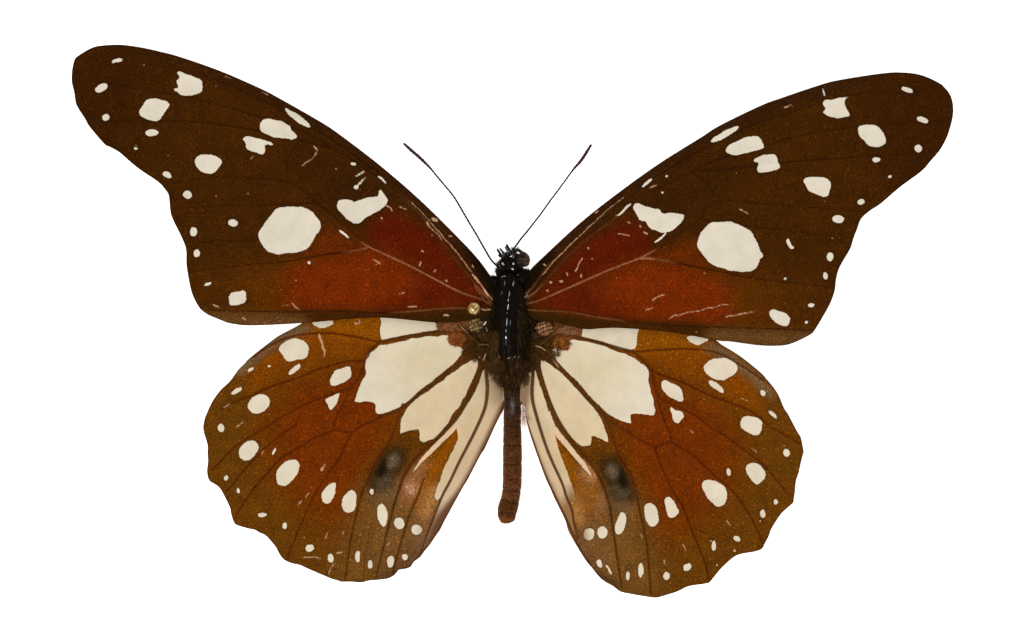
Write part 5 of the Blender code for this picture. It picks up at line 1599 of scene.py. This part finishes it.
def make_hair(settings):
    """Hair over the body, rooted on its surfaces; each hair leans out and with its coat's lean."""
    shapes = {
        "thorax": thorax_tube(),
        "head": joined(lumps(HEAD_LUMPS)),
        "tufts": joined(tuft_tubes()),
        "shoulders": joined(lumps(SHOULDERS)),
    }
    parts = []
    for seed, (shape, wide, deep, count, lengths, lean, tint) in enumerate(HAIR_COATS):
        rng = np.random.default_rng(seed + HAIR_SEED)
        points, faces = shapes[shape][:2]
        quads = next(group for group in faces if group.shape[1] == 4)
        middle = points[quads].mean(axis=1)
        low = (wide[0], deep[0], HAIR_FROM_Z)
        high = (wide[1], deep[1], FAR)
        quads = quads[((middle > low) & (middle < high)).all(axis=1)]
        roots, away = scattered(points, quads, int(count * settings.density), rng)
        set_lean = np.column_stack([lean[0] * roots[:, 0], np.full((len(roots), 2), lean[1:])])
        leans = HAIR_OUTWARD * away + set_lean + rng.normal(0, HAIR_SPREAD, away.shape)
        long = rng.uniform(*lengths, len(roots))
        roots = roots - HAIR_DEPTH * away
        parts.append((*hairs(roots, leans, long, settings.thick, HAIR_SAG, seed), tint))
    return tinted_piece("body_hair", *joined(parts))


def make_root_tufts(settings):
    """Flat-lying tufts over the hindwings' roots: places even in each ellipse, a little over the wing."""
    parts = []
    for seed, (middle, half, count, lengths, lean, tint) in enumerate(ROOT_TUFTS):
        rng = np.random.default_rng(seed + TUFT_SEED)
        angle = rng.uniform(0, math.tau, count)
        radius = np.sqrt(rng.uniform(0, 1, count))
        spread = np.column_stack([np.cos(angle), np.sin(angle)]) * radius[:, None] * half
        flat = from_photo(np.asarray(middle) + spread)
        roots = np.column_stack([flat, wing_height(flat, "hindwing") + TUFT_LIFT])
        leans = np.array([*lean, TUFT_RISE]) + rng.normal(0, 1, (count, 3)) * TUFT_SPREAD
        long = rng.uniform(*lengths, count)
        parts.append((*hairs(roots, leans, long, settings.thick, TUFT_SAG, seed), tint))
    return tinted_piece("root_tufts", *joined(parts))


def make_wing_roots():
    """Where the wings meet the body: mottled knobs, tan ridges on the forewings with painted highlight along
    them, and ropes behind them, two of them painted highlights.
    """
    parts = []
    for centre, half, dark, light in ROOT_KNOBS:
        points, faces = blob(centre, half, *KNOB_RINGS)
        coarse = ripple(points[:, :2], *KNOB_RIPPLES[0])
        fine = ripple(points[:, :2] ** 3, *KNOB_RIPPLES[1])
        lit = KNOB_WEIGHTS[0] * coarse + KNOB_WEIGHTS[1] * fine
        away = points - centre
        share = np.clip(KNOB_LIGHT[0] + KNOB_LIGHT[1] * lit, 0, 1)
        tone = dark + share[:, None] * np.subtract(light, dark)
        parts.append((centre + away * (1 + KNOB_SWELL * lit)[:, None], faces, tone))
    for height, half, tone, line in ROOT_LINES_AND_HIGHLIGHTS:
        count = ROPE_STEPS * len(line)
        path = smooth_line(from_photo(line), count)
        path = np.column_stack([path, np.full(count, height)])
        angle = np.linspace(ROPE_END, math.pi - ROPE_END, count)
        width = half * MM_PER_PIXEL * np.sqrt(np.sin(angle))
        width *= 1 + ROPE_SWELL * ripple(path[:, :2], *ROPE_RIPPLE)
        parts.append((*tube(path, width, width * ROPE_FLATNESS, ROPE_SIDES), tone))
    return tinted_piece("wing_roots", *joined(parts))


def make_antennae():
    """Both antennae: thin tubes, with a small ring at each joint and a slender club at the end."""
    parts = []
    for rows in ANTENNAE.values():
        share = np.linspace(0, 1, ANTENNA_STEPS)
        half = ANTENNA_SHAFT + (ANTENNA_CLUB - ANTENNA_SHAFT) * np.interp(share, *CLUB)
        half = half * (1 + JOINT_SWELL * np.sin(share * math.tau * ANTENNA_JOINTS))
        parts.append((*tube(smooth_line(rows, ANTENNA_STEPS), half, half, ANTENNA_SIDES), ANTENNA_TONE))
    points, faces, tints = joined(parts)
    shade = np.interp(np.linalg.norm(points[:, :2], axis=1), *ANTENNA_LIGHT)
    return tinted_piece("antennae", points, faces, tints * shade[:, None])


def make_legs():
    """Six legs along their bent middle lines, with short spines along the shins."""
    parts = []
    roots = []
    leans = []
    steps = np.arange(*SPINE_STEPS)
    share = np.linspace(0, 1, LEG_STEPS)
    for side in (-1, 1):
        for rows, radii, reference in LEGS:
            line = [(THORAX_X + side * x, y, z) for x, y, z in rows]
            path = smooth_line(line, LEG_STEPS)
            half = np.interp(share, np.linspace(0, 1, len(radii)), radii)
            half = half * (1 - LEG_SWELL * np.cos(share * math.tau * (len(radii) - 1)))
            points, faces = tube(path, half, half, LEG_SIDES, reference)
            points[:, 2] = np.maximum(points[:, 2], LEG_FLOOR)
            parts.append((points, faces, LEG_TONE))
            roots.append(path[steps])
            aside = [[SPINE_LEAN[0] * (-1) ** step, *SPINE_LEAN[1:]] for step in steps]
            leans.append(np.gradient(path, axis=0)[steps] * SPINE_AHEAD + aside)
    roots = np.vstack(roots)
    lengths = np.full(len(roots), SPINE_LENGTH)
    spines, faces = hairs(roots, np.vstack(leans), lengths, SPINE_HALF, 0.0, SPINE_SEED)
    spines[:, 2] = np.maximum(spines[:, 2], LEG_FLOOR)
    parts.append((spines, faces, SPINE_TONE))
    return tinted_piece("legs", *joined(parts))


def make_proboscis():
    """The coiled tongue: a spiral whose radius shrinks evenly as it turns, standing under the head."""
    angle = np.linspace(0, TONGUE_TURNS * math.tau, TONGUE_STEPS)
    radius = np.interp(angle, [0, angle[-1]], TONGUE_RADII)
    x, y, z = TONGUE_CENTRE
    coil = np.column_stack([np.full(TONGUE_STEPS, x), y - radius * np.cos(angle), z + radius * np.sin(angle)])
    rise = np.linspace(0, 1, TONGUE_ROOT_STEPS)[:-1, None]
    path = np.vstack([np.add(TONGUE_CENTRE, TONGUE_ROOT) * (1 - rise) + coil[0] * rise, coil])
    half = np.linspace(TONGUE_THICK, TONGUE_TIP, len(path))
    points, faces = tube(path, half, half, TONGUE_SIDES, (1.0, 0.0, 0.0))
    return tinted_piece("proboscis_coil", *joined([(points, faces, TONGUE_TONE)]))


def make_pin():
    """The pin: one turned profile, a straight shank and a round head, closed at both ends."""
    x, y = PIN_PLACE
    angle = np.linspace(math.pi - math.asin(PIN_SHANK / PIN_HEAD), PIN_TOP, PIN_HEAD_STEPS)
    shank = np.linspace(PIN_FOOT_Z, PIN_HEAD_Z - PIN_HEAD * HEAD_JOIN, SHANK_STEPS)
    heights = np.concatenate([shank, PIN_HEAD_Z + PIN_HEAD * np.cos(angle)])
    half = np.concatenate([np.full(SHANK_STEPS, PIN_SHANK), PIN_HEAD * np.sin(angle)])
    path = np.column_stack([np.full(len(heights), x), np.full(len(heights), y), heights])
    points, faces = tube(path, half, half, PIN_SIDES, (0.0, 1.0, 0.0))
    shader = Shader("pin_brass")
    patches = shader.noise(TARNISH_SIZE, 4.0)
    colour = shader.mix(shader.step(patches, *TARNISH_SPAN), rgba(BRASS_TONE), rgba(TARNISH_TONE))
    material = shader.surface(colour, *BRASS_FINISH, patches, BRASS_BUMP, BRASS_METAL)
    return keep(make_object("pin_metal", points, outward(points, faces), [material], {}), "pin", "pin")


def make_stage(settings):
    """A wide pale floor, even light all round, one soft lamp, and the camera straight above."""
    scene = bpy.context.scene
    shader = Shader("floor_paint")
    glow = shader.node("ShaderNodeEmission", {"Color": WHITE, "Strength": settings.floor_glow})
    paint = shader.node("ShaderNodeBsdfDiffuse", {"Color": FLOOR_PAINT})
    both = shader.node("ShaderNodeAddShader", {0: glow.outputs[0], 1: paint.outputs[0]})
    shader.node("ShaderNodeOutputMaterial", {"Surface": both.outputs[0]})
    mesh = bpy.data.meshes.new("floor")
    half = settings.floor_size / 2
    corners = [(-half, -half, 0), (half, -half, 0), (half, half, 0), (-half, half, 0)]
    mesh.from_pydata(corners, [], [(0, 1, 2, 3)])
    mesh.materials.append(shader.material)
    floor = bpy.data.objects.new("floor", mesh)
    world = bpy.data.worlds.new("studio")
    world.use_nodes = True
    world.node_tree.nodes["Background"].inputs["Color"].default_value = WHITE
    world.node_tree.nodes["Background"].inputs["Strength"].default_value = settings.sky
    scene.world = world
    lamp_data = bpy.data.lights.new("lamp", "SUN")
    lamp_data.energy = settings.lamp
    lamp_data.angle = math.radians(LAMP_WIDTH)
    lamp = bpy.data.objects.new("lamp", lamp_data)
    lamp.rotation_euler = [math.radians(angle) for angle in LAMP_TILT]
    lens = bpy.data.cameras.new("camera")
    lens.lens = LENS
    lens.sensor_width = SENSOR
    lens.clip_start = CLIP_START
    camera = bpy.data.objects.new("camera", lens)
    camera.location = [value * MM for value in CAMERA_PLACE]
    for obj in (floor, lamp, camera):
        scene.collection.objects.link(obj)
    scene.camera = camera
    scene.view_settings.view_transform = "Standard"
    return floor


class WingSettings(bpy.types.PropertyGroup):
    """How the wings are made."""

    spacing: FloatProperty(name="Grid spacing", description="Step between the wing's points, in millimetres",
                           default=0.15, min=0.12, max=1.0)
    ridge: FloatProperty(name="Vein ridge", description="Height of a vein, in millimetres", default=0.06)
    trough: FloatProperty(name="Trough", description="Depth between veins, in millimetres", default=0.09)
    vein_width: FloatProperty(name="Vein width", description="Share of the read vein width", default=1.0)
    grain: FloatProperty(name="Grain", description="Share by which the scales vary", default=0.45)
    grain_size: FloatProperty(name="Grain size", description="Size in millimetres", default=0.13)
    golden: FloatProperty(name="Golden flecks", description="Share of places with a fleck", default=0.2)
    flecks: FloatProperty(name="Flecks", description="Share of places with a pale fleck", default=0.06)


class HairSettings(bpy.types.PropertyGroup):
    """How the body's hair is made."""

    density: FloatProperty(name="Density", description="Share of the hairs", default=1.0, min=0.1)
    thick: FloatProperty(name="Thickness", description="Half width in millimetres", default=0.035)


class StageSettings(bpy.types.PropertyGroup):
    """Floor and light."""

    floor_size: FloatProperty(name="Floor size", description="Side of the floor", default=8.0,
                              subtype="DISTANCE", unit="LENGTH")
    floor_glow: FloatProperty(name="Floor glow", description="Light given off by the floor", default=0.8)
    sky: FloatProperty(name="Sky", description="Strength of the even light", default=0.69)
    lamp: FloatProperty(name="Lamp", description="Strength of the soft lamp", default=1.45)


class BUTTERFLY_OT_wings(bpy.types.Operator):
    """Make the four wings"""

    bl_idname = "butterfly.wings"
    bl_label = "Wings"

    def execute(self, context):
        settings = context.scene.butterfly_wings
        materials = [wing_material("wing_scales", 1.0, settings),
                     wing_material("wing_scales_under", UNDERSIDE_LIGHT, settings)]
        for kind in ("forewing", "hindwing"):
            for side in ("left", "right"):
                make_wing(kind, side, settings, materials)
        return {"FINISHED"}


class BUTTERFLY_OT_body(bpy.types.Operator):
    """Make the thorax, abdomen and head"""

    bl_idname = "butterfly.body"
    bl_label = "Body"

    def execute(self, context):
        for make in (make_thorax, make_abdomen, make_head, make_wing_roots):
            make()
        return {"FINISHED"}


class BUTTERFLY_OT_hair(bpy.types.Operator):
    """Make the hair over the body"""

    bl_idname = "butterfly.hair"
    bl_label = "Hair"

    def execute(self, context):
        make_hair(context.scene.butterfly_hair)
        make_root_tufts(context.scene.butterfly_hair)
        return {"FINISHED"}


class BUTTERFLY_OT_limbs(bpy.types.Operator):
    """Make the antennae, legs and coiled tongue"""

    bl_idname = "butterfly.limbs"
    bl_label = "Antennae, legs and tongue"

    def execute(self, context):
        for make in (make_antennae, make_legs, make_proboscis):
            make()
        return {"FINISHED"}


class BUTTERFLY_OT_pin(bpy.types.Operator):
    """Make the pin"""

    bl_idname = "butterfly.pin"
    bl_label = "Pin"

    def execute(self, context):
        make_pin()
        return {"FINISHED"}


class BUTTERFLY_OT_stage(bpy.types.Operator):
    """Make the floor, light and camera"""

    bl_idname = "butterfly.stage"
    bl_label = "Floor, light and camera"

    def execute(self, context):
        make_stage(context.scene.butterfly_stage)
        return {"FINISHED"}


class BUTTERFLY_PT_pieces(bpy.types.Panel):
    """The pieces, in the order they are made"""

    bl_label = "Butterfly"
    bl_space_type = "VIEW_3D"
    bl_region_type = "UI"
    bl_category = "Butterfly"

    def draw(self, context):
        for operator in OPERATORS:
            self.layout.operator(operator.bl_idname)
        for name, group in SETTINGS.items():
            box = self.layout.box()
            for key in group.__annotations__:
                box.prop(getattr(context.scene, name), key)


OPERATORS = (BUTTERFLY_OT_wings, BUTTERFLY_OT_body, BUTTERFLY_OT_hair, BUTTERFLY_OT_limbs, BUTTERFLY_OT_pin,
             BUTTERFLY_OT_stage)
SETTINGS = {
    "butterfly_wings": WingSettings,
    "butterfly_hair": HairSettings,
    "butterfly_stage": StageSettings,
}


def register():
    for group in (*SETTINGS.values(), *OPERATORS, BUTTERFLY_PT_pieces):
        bpy.utils.register_class(group)
    for name, group in SETTINGS.items():
        setattr(bpy.types.Scene, name, PointerProperty(type=group))


def unregister():
    for name in SETTINGS:
        delattr(bpy.types.Scene, name)
    for group in (BUTTERFLY_PT_pieces, *reversed(OPERATORS), *reversed(SETTINGS.values())):
        bpy.utils.unregister_class(group)


def main():
    register()
    for name in ("wings", "body", "hair", "limbs", "pin", "stage"):
        getattr(bpy.ops.butterfly, name)()


if __name__ == "__main__":
    main()
